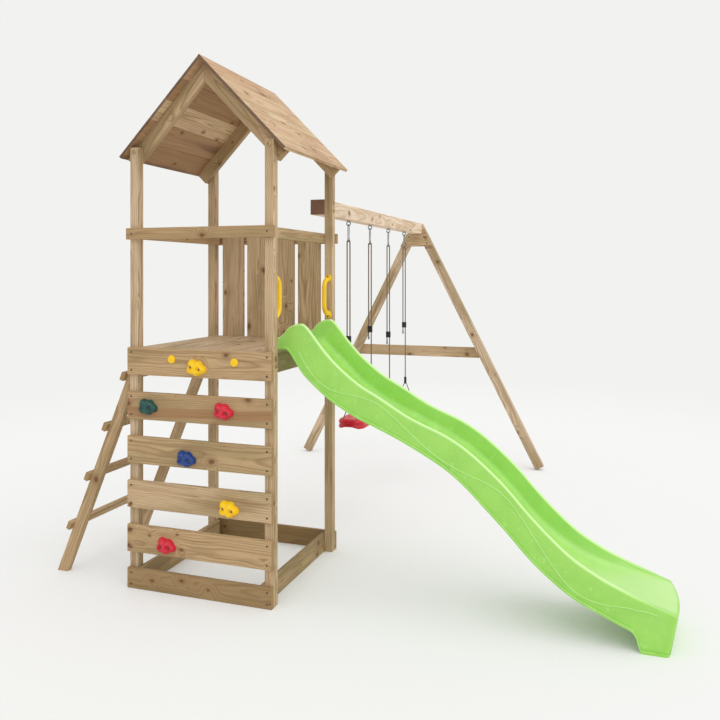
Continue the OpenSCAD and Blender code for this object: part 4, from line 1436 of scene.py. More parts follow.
@dataclass(frozen=True)
class HeadTree:
    """Sets a round fastener head with a driver socket on each aimed point."""

    sides: int = 14
    rise: float = 0.5
    crown: float = 0.66
    socket: float = 0.5
    socket_taper: float = 0.8

    def tree(self) -> bpy.types.NodeTree:
        """Builds the tree: a disc raised in two steps, then a socket sunk into it.

        Returns:
            The tree.
        """
        tree = new_tree(
            "fastener_heads",
            (
                ("Head diameter", "NodeSocketFloat"),
                ("Head height", "NodeSocketFloat"),
                ("Socket depth", "NodeSocketFloat"),
                ("Finish", "NodeSocketMaterial"),
            ),
        )
        add = partial(add_node, tree)
        given = add("NodeGroupInput")
        radius, step, sink = (
            add("ShaderNodeMath", {0: given.outputs[name], 1: by}, operation="MULTIPLY")
            for name, by in (
                ("Head diameter", 0.5), ("Head height", self.rise), ("Socket depth", -1.0)
            )
        )
        up = add("ShaderNodeCombineXYZ", {2: 1.0})
        disc = add(
            "GeometryNodeMeshCircle", {"Vertices": self.sides, "Radius": radius}, fill_type="NGON"
        )
        base = add("GeometryNodeFlipFaces", {0: disc})
        shape, top = disc, None
        for rise, shrink in (
            (step, 1.0), (step, self.crown), (0.0, self.socket), (sink, self.socket_taper)
        ):
            inputs = {"Mesh": shape, "Offset": up, "Offset Scale": rise}
            if top is not None:
                inputs["Selection"] = top
            raised = add("GeometryNodeExtrudeMesh", inputs, mode="FACES")
            top = raised.outputs["Top"]
            shape = add(
                "GeometryNodeScaleElements",
                {"Geometry": raised.outputs["Mesh"], "Selection": top, "Scale": shrink},
            )
        head = add("GeometryNodeJoinGeometry", {0: shape})
        tree.links.new(base.outputs[0], head.inputs[0])
        closed = add("GeometryNodeMergeByDistance", {0: head, "Distance": MERGE})
        aim = add("GeometryNodeInputNamedAttribute", {"Name": "aim"}, data_type="FLOAT_VECTOR")
        turn = add("FunctionNodeAlignRotationToVector", {"Vector": aim}, axis="Z")
        heads = add(
            "GeometryNodeInstanceOnPoints",
            {"Points": given.outputs["Geometry"], "Instance": closed, "Rotation": turn},
        )
        end_tree(add, heads, given.outputs["Finish"])
        return tree


@dataclass(frozen=True)
class Aimed:
    """A fastener's seat and the way that its head looks."""

    seat: Triple
    out: Triple


@dataclass(frozen=True)
class Fasteners:
    """Wood screws, coach bolts and the bolts of the stones."""

    tower_w: float = 816.0
    tower_d: float = 843.0
    post: float = 48.0
    board_t: float = 24.0
    board_w: float = 140.0
    sand_h: float = 104.0
    rail_z: float = 1789.0
    rail_h: float = 58.0
    climb_boards: int = 5
    climb_pitch: float = 227.0
    platform: float = 1235.0
    bearer_h: float = 95.0
    panel_side: float = 39.5
    panel_gap: float = 27.0
    panel_boards: int = 4
    edge: float = 24.0
    screw_head: float = 10.0
    screw_rise: float = 2.0
    bolt_head: float = 22.0
    bolt_rise: float = 5.0
    # Depth of a driver socket as a share of its head's height
    socket: float = 0.6
    bolt_pitch: float = 46.0
    roof_pitch: float = 46.0
    roof_apex: float = 2687.8
    rafter_h: float = 70.0
    ladder_angle: float = 22.6286
    ladder_foot: float = -845.0
    stringer_h: float = 58.0
    stringer_t: float = 35.0
    rungs: int = 4
    rung_first: float = 255.0
    rung_pitch: float = 272.0
    rung_t: float = 24.0
    beam_x: float = 316.0
    beam_w: float = 88.0
    beam_z: float = 1958.0
    beam_end: float = 3160.0
    leg_w: float = 70.0
    leg_t: float = 58.0
    leg_angle: float = 26.8555
    cross_h: float = 54.0
    cross_boards: int = 2
    spreader_z: float = 899.0
    spreader_h: float = 88.0

    def leg_out(self, z: float) -> float:
        """How far a leg's outer edge lies from the beam's middle at a height."""
        top = self.beam_z + self.beam_w
        return self.beam_w / 2 + (top - z) * math.tan(math.radians(self.leg_angle))

    def front_screws(self) -> list[Aimed]:
        """Screws whose heads look forwards: wall, sandpit and rail.

        Returns:
            Their seats.
        """
        x = (self.tower_w - self.post) / 2
        first = self.platform - self.board_w
        heights = [
            first - i * self.climb_pitch + d
            for i in range(self.climb_boards)
            for d in (self.edge, self.board_w - self.edge)
        ]
        heights += [self.edge, self.sand_h - self.edge, self.rail_z + self.rail_h / 2]
        seats = [Aimed((s * x, -self.board_t, z), (0, -1, 0)) for s in (-1, 1) for z in heights]
        for i in range(self.cross_boards):
            z = self.beam_z - (i + 0.5) * self.cross_h
            reach = self.leg_out(z) - self.leg_w / 2
            y = self.beam_end - self.leg_t - self.board_t
            seats += [Aimed((self.beam_x + s * reach, y, z), (0, -1, 0)) for s in (-1, 1)]
        return seats

    def back_screws(self) -> list[Aimed]:
        """Screws whose heads look backwards: back boards, panel and spreader.

        Returns:
            Their seats.
        """
        under = self.platform - self.board_t
        x, y = (self.tower_w - self.post) / 2, self.tower_d + self.board_t
        heights = (self.sand_h / 2, under - self.edge, self.rail_z + self.rail_h / 2)
        seats = [Aimed((s * x, y, z), (0, 1, 0)) for s in (-1, 1) for z in heights]
        wide = self.tower_w - 2 * self.post - 2 * self.panel_side
        board = (wide - (self.panel_boards - 1) * self.panel_gap) / self.panel_boards
        for i in range(self.panel_boards):
            px = -wide / 2 + board / 2 + i * (board + self.panel_gap)
            for z in (under - self.bearer_h / 2, self.rail_z + self.rail_h / 2):
                seats.append(Aimed((px, y, z), (0, 1, 0)))
        half = self.leg_w / math.cos(math.radians(self.leg_angle)) / 2
        for d in (self.edge, self.spreader_h - self.edge):
            z = self.spreader_z + d
            for s in (-1, 1):
                px = self.beam_x + s * (self.leg_out(z) - half)
                seats.append(Aimed((px, self.beam_end + self.board_t, z), (0, 1, 0)))
        return seats

    def rung_screws(self) -> list[Aimed]:
        """Screws through the ladder's rungs.

        Returns:
            Their seats.
        """
        a = math.radians(self.ladder_angle)
        out = (-math.cos(a), 0.0, math.sin(a))
        foot = self.ladder_foot - self.stringer_h / math.cos(a)
        back = self.tower_d - self.post
        seats = []
        for i in range(self.rungs):
            z = self.rung_first + i * self.rung_pitch
            x = foot + z * math.tan(a)
            for y in (self.post + self.stringer_t / 2, back - self.stringer_t / 2):
                seat = (x + out[0] * self.rung_t, y, z + out[2] * self.rung_t)
                seats.append(Aimed(seat, out))
        return seats

    def coach_bolts(self) -> list[Aimed]:
        """Bolts through the posts: bearers, rafters and the swing beam.

        Returns:
            Their seats.
        """
        under = self.platform - self.board_t
        pitch = math.radians(self.roof_pitch)
        px, half = (self.tower_w - self.post) / 2, self.post / 2
        z = self.roof_apex - px * math.tan(pitch) - self.rafter_h / 2 / math.cos(pitch)
        seats = []
        for s in (-1, 1):
            for y in (half, self.tower_d - half):
                seats.append(Aimed((s * self.tower_w / 2, y, under - self.bearer_h / 2), (s, 0, 0)))
            seats.append(Aimed((s * px, 0.0, z), (0, -1, 0)))
            seats.append(Aimed((s * px, self.tower_d, z), (0, 1, 0)))
            high = self.beam_z + (self.beam_w + s * self.bolt_pitch) / 2
            seats.append(Aimed((self.tower_w / 2, self.tower_d - half, high), (1, 0, 0)))
        return seats

    def set_heads(self, node: str, seats: Sequence[Aimed], size: Pair, look: Look) -> None:
        """Sets one kind of head on its seats.

        Args:
            node: the solid that the heads stand for.
            seats: where they sit and look.
            size: diameter and height of a head.
            look: the heads' finish.
        """
        name = "heads_" + node
        mesh = bpy.data.meshes.new(name)
        mesh.from_pydata(to_metres([s.seat for s in seats]).tolist(), [], [])
        write_vectors(mesh, "aim", [s.out for s in seats])
        values = {
            "Head diameter": size[0] / MM,
            "Head height": size[1] / MM,
            "Socket depth": self.socket * size[1] / MM,
            "Finish": look.material(),
        }
        heads = baked(link_object(name, mesh), HeadTree().tree(), values)
        finish_piece(heads, look, Body.FRAME, node)

    def build(self, stone_seats: Sequence[Aimed], handle_seats: Sequence[Aimed]) -> None:
        """Makes every head.

        Args:
            stone_seats: where the stones' bolts sit.
            handle_seats: where the grab handles' screws sit.
        """
        screws = self.front_screws() + self.back_screws() + self.rung_screws()
        small, large = (self.screw_head, self.screw_rise), (self.bolt_head, self.bolt_rise)
        self.set_heads("board_screws", [*screws, *handle_seats], small, Look.SCREW)
        self.set_heads("stone_bolts", stone_seats, small, Look.SCREW)
        self.set_heads("frame_bolts", self.coach_bolts(), large, Look.ZINC)


# Handles, stones and caps


@dataclass(frozen=True)
class StonePlace:
    """A stone's board, its place along it and below its middle, and its turn in degrees."""

    board: int
    along: float
    drop: float
    turn: float


@dataclass(frozen=True)
class ClimbingStones:
    """Lobed climbing stones with sunk bolts, and the round cover caps."""

    wide: float = 110.0
    high: float = 92.0
    out: float = 46.0
    clear: float = 720.0
    board_w: float = 140.0
    board_t: float = 24.0
    platform: float = 1235.0
    pitch: float = 227.0
    bolt_share: float = 0.22
    cup_z: float = 24.0
    cup_r: float = 11.5
    valley: float = 0.17
    cap_d: float = 42.0
    cap_t: float = 9.0
    spokes: int = 72
    rings: int = 28
    lobes: int = 5
    # Fullness of the outline and of the dome, and how much narrower a stone is at one end
    full: float = 2.4
    dome: float = 2.6
    egg: float = 0.12
    valley_sharp: float = 1.5
    # Lumps: the room left for them, where they lie, how high and how wide they are
    lump_room: float = 9.0
    lump_at: Pair = (0.56, 0.7)
    lump_rise: Pair = (5.0, 8.0)
    lump_wide: float = 0.06
    lump_fade: int = 4
    # How far the lobes may be turned, in radians of a lobe
    lobe_turn: float = 0.9
    # How far past a cup's radius its soft edge starts, and how wide it is
    cup_past: float = 4.0
    cup_soft: float = 6.0
    # Radius and height of a cap's rings, as shares of its own
    cap_rows: tuple[Pair, ...] = (
        (0.96, 0.0),
        (1.0, 0.12),
        (1.0, 0.4),
        (0.97, 0.58),
        (0.9, 0.72),
        (0.75, 0.86),
        (0.5, 0.95),
        (0.2, 1.0),
    )
    cap_sides: int = 36
    cap_crease: float = 40.0
    caps: tuple[Pair, ...] = ((-0.20, 0.12), (0.29, 0.10))
    yellow: tuple[StonePlace, ...] = (StonePlace(1, 0.0, 0.15, 12), StonePlace(4, 0.25, 0.16, 10))
    red: tuple[StonePlace, ...] = (StonePlace(2, 0.21, 0.01, 14), StonePlace(5, -0.24, 0.11, 6))
    green: tuple[StonePlace, ...] = (StonePlace(2, -0.39, 0.02, 4),)
    blue: tuple[StonePlace, ...] = (StonePlace(3, -0.08, 0.16, 8),)

    def bolts(self) -> list[Pair]:
        """Places of a stone's two bolts on its own face."""
        return [(s * self.wide * self.bolt_share, 0.0) for s in (-1, 1)]

    def carry(self, points: np.ndarray, at: StonePlace) -> np.ndarray:
        """Carries a stone's own places, out of the board, to the tower.

        Args:
            points: places along, up and out.
            at: the stone's place.

        Returns:
            Tower places.
        """
        turn = math.radians(at.turn)
        x, y, z = np.asarray(points, float).T
        low = self.platform - self.board_w - (at.board - 1) * self.pitch
        middle = low + self.board_w * (0.5 - at.drop)
        across = x * math.cos(turn) + y * math.sin(turn)
        up = -x * math.sin(turn) + y * math.cos(turn)
        return np.stack([at.along * self.clear + across, -self.board_t - z, middle + up], axis=1)

    def stone(self, seed: int) -> tuple[np.ndarray, list]:
        """Shapes a stone: a lobed dome with lumps and a cup round each bolt.

        Args:
            seed: number of the stone, so that no two have the same lumps.

        Returns:
            Places on the stone's own face and faces.
        """
        draw = np.random.default_rng(seed)
        start = draw.uniform(-self.lobe_turn, self.lobe_turn)
        lumps = []
        for i in range(self.lobes):
            a = (2 * math.pi * i - start) / self.lobes
            far = draw.uniform(*self.lump_at)
            lumps.append((far * math.cos(a), far * math.sin(a), draw.uniform(*self.lump_rise)))
        points: list = []
        for i in range(self.rings):
            share = 1 - i / self.rings
            for k in range(self.spokes):
                a = 2 * math.pi * k / self.spokes
                half = self.high / 2 * (1 - self.egg - self.egg * math.cos(a))
                across = abs(math.cos(a) / (self.wide / 2)) ** self.full
                round_ = (across + abs(math.sin(a) / half) ** self.full) ** (-1 / self.full)
                hollow = (0.5 - 0.5 * math.cos(self.lobes * a + start)) ** self.valley_sharp
                r = round_ * (1 - self.valley * hollow) * share
                x, y = r * math.cos(a), r * math.sin(a)
                z = (self.out - self.lump_room) * (1 - share**self.dome) ** 0.5
                for lx, ly, rise in lumps:
                    near = (x / self.wide * 2 - lx) ** 2 + (y / self.high * 2 - ly) ** 2
                    z += rise * (1 - share**self.lump_fade) * math.exp(-near / self.lump_wide)
                for bx, by in self.bolts():
                    past = self.cup_r + self.cup_past - math.hypot(x - bx, y - by)
                    dip = min(1.0, max(0.0, past / self.cup_soft))
                    z += (min(z, self.cup_z) - z) * dip * dip * (3 - 2 * dip)
                points.append((x, y, min(max(z, 0.0), self.out)))
        top = len(points)
        points.append((0.0, 0.0, float(np.mean([p[2] for p in points[-self.spokes :]]))))
        faces = tube_faces(self.rings, self.spokes)
        inner = faces.pop(1)
        faces += [(*pair, top) for pair in zip(inner, inner[1:] + inner[:1])]
        return np.array(points), faces

    def bolt_seats(self) -> list[Aimed]:
        """Seats of the stones' bolts at the bottom of their cups.

        Returns:
            Their seats.
        """
        seats = []
        for at in (*self.yellow, *self.red, *self.green, *self.blue):
            for x, y in self.bolts():
                seat = self.carry(np.array([[x, y, self.cup_z]]), at)[0]
                seats.append(Aimed(tuple(seat), (0, -1, 0)))
        return seats

    def cap_mesh(self) -> tuple[np.ndarray, list]:
        """Turns the cover caps: a domed button with a rounded edge.

        Returns:
            Tower places and faces.
        """
        profile = [(a * self.cap_d / 2, b * self.cap_t) for a, b in self.cap_rows]
        places, faces = [], []
        low = self.platform - self.board_w
        for along, rise in self.caps:
            points, round_ = lathe(profile, self.cap_sides)
            first = sum(len(p) for p in places)
            middle = (along * self.clear, -self.board_t, low + self.board_w * (0.5 + rise))
            x, y, z = points.T
            places.append(np.stack([middle[0] + x, middle[1] - z, middle[2] + y], axis=1))
            faces += [tuple(i + first for i in f) for f in round_]
        return np.concatenate(places), faces

    def build(self) -> None:
        """Makes the stones and the caps."""
        number = 0
        for node, look, spots in (
            ("stones_yellow", Look.YELLOW, self.yellow),
            ("stones_red", Look.RED, self.red),
            ("stone_green", Look.GREEN, self.green),
            ("stone_blue", Look.BLUE, self.blue),
        ):
            for at in spots:
                number += 1
                points, faces = self.stone(number)
                piece = mesh_object(f"climbing_stone_{number}", self.carry(points, at), faces)
                soften(piece, SHARP)
                finish_piece(piece, look, Body.FRAME, node)
        caps = mesh_object("cover_cap_pair", *self.cap_mesh())
        soften(caps, self.cap_crease)
        finish_piece(caps, Look.YELLOW, Body.FRAME, "cover_caps")


def lathe(profile: Sequence[Pair], sides: int) -> tuple[np.ndarray, list]:
    """Turns a profile about Z and closes both ends.

    Args:
        profile: radius and height of each ring.
        sides: number of sides.

    Returns:
        Places and faces.
    """
    angles = np.linspace(0, 2 * math.pi, sides, endpoint=False)
    points = [(r * math.cos(a), r * math.sin(a), z) for r, z in profile for a in angles]
    return np.array(points), tube_faces(len(profile), sides)


@dataclass(frozen=True)
class GrabHandles:
    """Bow handles whose grip flares into round feet."""

    long: float = 252.0
    bow: float = 66.0
    grip_l: float = 96.0
    bend_r: float = 50.0
    grip: float = 26.0
    foot_d: float = 40.0
    foot_t: float = 9.0
    rise: float = 121.0
    platform: float = 1235.0
    x: float = 384.0
    # Face of the post, the way it looks and how much higher the handle sits
    places: tuple[tuple[float, int, float], ...] = ((48.0, 1, 16.0), (795.0, -1, 0.0))
    ridge: float = 16.0
    ridge_h: float = 1.6
    # Gap that the grip keeps off the post, and how much wider it is at its feet
    off: float = 0.3
    flare: float = 0.25
    # Places on the grip's straight way out, as shares of it
    stem: Pair = (0.35, 0.7)
    # Radius and height of a foot's rings, as shares of its own
    foot_rows: tuple[Pair, ...] = ((1.0, 0.0), (1.0, 0.55), (0.96, 0.8), (0.86, 0.95), (0.6, 1.0))
    foot_sides: int = 32
    grip_steps: int = 48
    bend_steps: int = 12
    sides: int = 20

    def line(self) -> list[Triple]:
        """Draws the grip's middle from the upper foot to the lower one.

        Returns:
            Places out of the post and up it, and the turn of the outward side in degrees.
        """
        half, out = self.grip_l / 2, self.bow - self.bend_r
        top = half + self.bend_r
        upper = [(y, top, 90.0) for y in (self.off, *(share * out for share in self.stem))]
        for i in range(self.bend_steps):
            a = 90.0 * (1 - i / self.bend_steps)
            y, z = math.cos(math.radians(a)), math.sin(math.radians(a))
            upper.append((out + self.bend_r * y, half + self.bend_r * z, a))
        middle = [(self.bow, z, 0.0) for z in np.linspace(half, -half, self.grip_steps + 1)]
        return [*upper, *middle, *[(y, -z, -a) for y, z, a in reversed(upper)]]

    def handle(self) -> tuple[np.ndarray, list]:
        """Shapes a handle along Z, reaching out along Y, with ridges for the fingers.

        Returns:
            Places and faces.
        """
        points: list = []
        line = self.line()
        for y0, z0, turn in line:
            a = math.radians(turn)
            flare = max(0.0, 1 - y0 / (self.bow - self.bend_r)) ** 2
            wave = 0.5 - 0.5 * math.cos(2 * math.pi * z0 / self.ridge) if turn == 0 else 0.0
            for k in range(self.sides):
                b = 2 * math.pi * k / self.sides
                r = self.grip / 2 * (1 + self.flare * flare)
                r -= self.ridge_h * wave * max(0, -math.cos(b))
                out = r * math.cos(b)
                y, z = y0 + out * math.cos(a), z0 + out * math.sin(a)
                points.append((r * math.sin(b), max(y, self.off), z))
        faces = tube_faces(len(line), self.sides)
        profile = [(a * self.foot_d / 2, b * self.foot_t) for a, b in self.foot_rows]
        for end in (-1, 1):
            plate, round_ = lathe(profile, self.foot_sides)
            first = len(points)
            reach = end * (self.long - self.foot_d) / 2
            points += [(p[0], p[2], reach + p[1]) for p in plate]
            faces += [tuple(i + first for i in f) for f in round_]
        return np.array(points), faces

    def middle(self, higher: float) -> float:
        """Height of a handle's middle."""
        return self.platform + self.rise + self.long / 2 + higher

    def screw_seats(self) -> list[Aimed]:
        """Seats of the screws in the handles' feet.

        Returns:
            Their seats.
        """
        reach = (self.long - self.foot_d / 2) / 2
        return [
            Aimed((self.x, y + side * self.foot_t, self.middle(higher) + end * reach), (0, side, 0))
            for y, side, higher in self.places
            for end in (-1, 1)
        ]

    def build(self) -> None:
        """Makes both handles."""
        for number, (y, side, higher) in enumerate(self.places, 1):
            points, faces = self.handle()
            across, out, up = points.T
            placed = np.stack([self.x + across, y + side * out, self.middle(higher) + up], axis=1)
            piece = mesh_object(f"grab_handle_{number}", placed, faces)
            soften(piece, SHARP)
            finish_piece(piece, Look.YELLOW, Body.FRAME, "grab_handles")


# Swings


@dataclass(frozen=True)
class RopeShape:
    """A laid rope: three strands that turn about the rope's line."""

    thick: float
    pitch: float
    step: float = 3.0
    strands: int = 3
    per_strand: int = 4
    groove: float = 0.14
    # Lengths of the yarns' pattern to a metre of rope
    lay: float = 4.0
    crease: float = 80.0

    def sweep(self, name: str, line: np.ndarray) -> tuple[Piece, np.ndarray]:
        """Sweeps the strands along a line that lies in one depth.

        Args:
            name: the piece's name.
            line: tower places along the rope.

        Returns:
            The object, and the middles of its rings.
        """
        gone = np.concatenate([[0], np.cumsum(np.linalg.norm(np.diff(line, axis=0), axis=1))])
        at = np.linspace(0, gone[-1], int(gone[-1] / self.step) + 1)
        rings = np.stack([np.interp(at, gone, line[:, k]) for k in range(3)], axis=1)
        along = np.gradient(rings, axis=0)
        along /= np.linalg.norm(along, axis=1)[:, None]
        side = np.array([0.0, 1.0, 0.0])
        normal = np.cross(along, side)
        count = self.strands * self.per_strand
        spots = np.arange(count) / count * 2 * math.pi
        hollow = 0.5 - 0.5 * np.cos(self.strands * spots)
        radius = self.thick / 2 * (1 - self.groove * hollow)
        points, lays = [], []
        for middle, out, s in zip(rings, normal, at):
            turn = spots + 2 * math.pi * s / self.pitch
            ring = np.cos(turn)[:, None] * out + np.sin(turn)[:, None] * side
            points.append(middle + radius[:, None] * ring)
            far = s / MM * self.lay
            # The lay's third part is the groove's depth between strands, where the finish paints
            # shade
            lays += [(k / count * self.strands, far, h) for k, h in enumerate(hollow)]
        piece = mesh_object(name, np.concatenate(points), tube_faces(len(rings), count))
        write_vectors(piece.data, "lay", lays)
        soften(piece, self.crease)
        return piece, rings


@dataclass(frozen=True)
class Hanger:
    """One hanger of a swing: its rope over the hook, its bridle and what is on them."""

    number: int
    swing: int
    y: float
    adjuster: float
    drop: float
    beam_x: float = 316.0
    strand: float = 9.78629
    hook: float = 1820.3
    low: float = 779.6
    tail_drop: float = 71.7
    pivot: float = 765.0
    rope_d: float = 9.0
    bridle_d: float = 7.0
    bridle_r: float = 6.8
    bridle_leg: float = 113.8364
    bridle_angle: float = 22.0
    knot_past: float = 7.8733
    knot_d: float = 14.0
    knot_rings: int = 18
    knot_sides: int = 24
    # Strands round a knot, the turns they take down it, and their depth as a share
    knot_strands: int = 3
    knot_turns: int = 4
    knot_groove: float = 0.07
    # Share of a half turn that is left open at a knot's poles, and its length of the lay
    knot_pole: float = 0.02
    knot_lay: float = 0.1
    knot_crease: float = 80.0
    # Steps of the rope over its hook, and of the bridle over its pin
    hook_steps: int = 24
    pin_steps: int = 20
    rope_pitch: float = 34.0
    bridle_pitch: float = 27.0
    bridle_step: float = 2.4

    def rope_line(self) -> np.ndarray:
        """Line of the rope: up from the ferrule, over the hook and down to its tail.

        Returns:
            Tower places.
        """
        turns = np.radians(np.linspace(0, 180, self.hook_steps + 1))
        arc = [(self.strand * math.cos(a), self.hook + self.strand * math.sin(a)) for a in turns]
        tail = (-self.strand, self.adjuster - self.tail_drop)
        flat = [(self.strand, self.low - self.drop), *arc, tail]
        return np.array([(self.beam_x + x, self.y, z) for x, z in flat])

    def bridle_line(self) -> np.ndarray:
        """Line of the bridle: from one knot over the ferrule's pin to the other.

        Returns:
            Tower places.
        """
        tilt = math.radians(self.bridle_angle)
        reach = self.bridle_leg + self.knot_past
        turns = np.linspace(tilt, math.pi - tilt, self.pin_steps + 1)
        arc = [(self.bridle_r * math.cos(a), self.bridle_r * math.sin(a)) for a in turns]
        foot = (math.sin(tilt) * reach, -math.cos(tilt) * reach)
        flat = [(arc[0][0] + foot[0], arc[0][1] + foot[1]), *arc]
        flat.append((arc[-1][0] - foot[0], arc[-1][1] + foot[1]))
        middle = self.beam_x + self.strand
        pin = self.pivot - self.drop
        return np.array([(middle + x, self.y, pin + z) for x, z in flat])

    def knot(self, middle: np.ndarray, name: str) -> Piece:
        """Ties a stopper knot: a ball of crossing turns.

        Args:
            middle: its tower place.
            name: its name.

        Returns:
            The object.
        """
        points, lays = [], []
        for i in range(self.knot_rings + 1):
            down = i / self.knot_rings
            up = math.pi * (self.knot_pole + (1 - 2 * self.knot_pole) * down)
            for k in range(self.knot_sides):
                a = 2 * math.pi * k / self.knot_sides
                wave = math.cos(self.knot_strands * a + self.knot_turns * up)
                r = self.knot_d / 2 * (1 - self.knot_groove + self.knot_groove * wave)
                x, y = math.sin(up) * math.cos(a), math.sin(up) * math.sin(a)
                points.append(middle + r * np.array([x, y, math.cos(up)]))
                turn = k / self.knot_sides * self.knot_strands
                # The lay's third part is the groove's depth between the knot's turns, where the
                # finish paints shade
                lays.append((turn, down * self.knot_lay, 0.5 - 0.5 * wave))
        faces = tube_faces(self.knot_rings + 1, self.knot_sides)
        piece = mesh_object(name, np.array(points), faces)
        write_vectors(piece.data, "lay", lays)
        soften(piece, self.knot_crease)
        return piece

    def build(self, fittings: Sequence[Piece]) -> None:
        """Makes the rope, the bridle and its knots.

        Args:
            fittings: the pieces on the rope; not used.
        """
        swing, seat = Body(f"swing_{self.swing}"), Body(f"seat_tilt_{self.swing}")
        shape = RopeShape(self.rope_d, self.rope_pitch)
        rope, line = shape.sweep(f"rope_{self.number}", self.rope_line())
        finish_piece(rope, Look.ROPE, swing, f"ropes_{self.swing}")
        shape = RopeShape(self.bridle_d, self.bridle_pitch, self.bridle_step)
        bridle, line = shape.sweep(f"bridle_{self.number}", self.bridle_line())
        finish_piece(bridle, Look.ROPE, seat, f"bridles_{self.swing}")
        for end, middle in enumerate((line[0], line[-1]), 1):
            knot = self.knot(middle, f"knot_{self.number}_{end}")
            finish_piece(knot, Look.ROPE, seat, f"bridles_{self.swing}")


@dataclass(frozen=True)
class SwingSeat:
    """A moulded seat: a shallow dished top, rolled edges and a skirt that arches at its ends."""

    swing: int
    y: float
    drop: float
    x: float = 325.78629
    top: float = 670.0
    long: float = 500.0
    wide: float = 180.0
    high: float = 60.0
    wall: float = 8.0
    corner: float = 70.0
    edge: float = 24.0
    dish: float = 8.0
    groove: float = 5.0
    # The skirt's arch: its rise, how far it reaches in, and its half width as a share
    arch: float = 14.0
    arch_long: float = 40.0
    arch_wide: float = 0.34
    corner_least: float = 6.0
    # Distance in from the edge, and share of the dish there
    dish_rows: tuple[Pair, ...] = ((86.0, 1.0), (70.0, 0.9), (52.0, 0.55), (36.0, 0.15))
    # Share of the groove's depth, and distance under the rolled edge
    groove_rows: tuple[Pair, ...] = (
        (0.25, 3.0), (0.8, 7.0), (1.0, 12.0), (0.8, 17.0), (0.25, 21.0), (0.0, 25.0)
    )
    # Where the skirt's lip starts to round, and the rounding's own step
    lip: float = 5.0
    lip_step: float = 1.5
    per_corner: int = 14
    edge_steps: int = 8
    crease: float = 40.0

    def ring(self, inset: float) -> np.ndarray:
        """Outline of the seat, moved in by an inset.

        Args:
            inset: distance from the seat's edge.

        Returns:
            Places across and along.
        """
        w, l = self.wide / 2 - inset, self.long / 2 - inset
        r = min(max(self.corner - inset, self.corner_least), w)
        places = []
        for quarter, (sx, sy) in enumerate(((1, 1), (-1, 1), (-1, -1), (1, -1))):
            for k in range(self.per_corner + 1):
                a = math.pi / 2 * (quarter + k / self.per_corner)
                places.append((sx * (w - r) + r * math.cos(a), sy * (l - r) + r * math.sin(a)))
        return np.array(places)

    def build(self) -> None:
        """Lofts the seat from its middle over its edge to its underside."""
        sweep = np.radians(np.linspace(0, 90, self.edge_steps + 1))
        e, t, foot, step = self.edge, self.wall, -self.high, self.lip_step
        inner = e - t
        stack = [(inset, -self.dish * share) for inset, share in self.dish_rows]
        stack += [(e * (1 - math.sin(a)), -e * (1 - math.cos(a))) for a in sweep]
        # A finger groove runs round the skirt under the rolled edge
        stack += [(share * self.groove, -e - under) for share, under in self.groove_rows]
        stack += [(0.0, foot + self.lip), (step, foot + step), (t / 2, foot)]
        stack += [(t - step, foot + step), (t, foot + self.lip)]
        stack += [
            (t + inner * (1 - math.sin(a)), -t - inner * (1 - math.cos(a))) for a in sweep[::-1]
        ]
        stack += [(inset, -t - self.dish * share) for inset, share in self.dish_rows[::-1]]
        points: list = []
        for inset, z in stack:
            for x, y in self.ring(inset):
                low = min(1.0, max(0.0, (-z - e) / (self.high - e)))
                near_end = max(0.0, 1 - (self.long / 2 - abs(y)) / self.arch_long)
                middle = max(0.0, 1 - (x / (self.wide * self.arch_wide)) ** 2)
                lift = self.arch * low * near_end * middle
                points.append((self.x + x, self.y + y, self.top - self.drop + z + lift))
        faces = tube_faces(len(stack), 4 * (self.per_corner + 1))
        seat = mesh_object(f"swing_seat_{self.swing}", np.array(points), faces)
        soften(seat, self.crease)
        body = Body(f"seat_tilt_{self.swing}")
        finish_piece(seat, Look.SEAT, body, f"seat_{self.swing}")


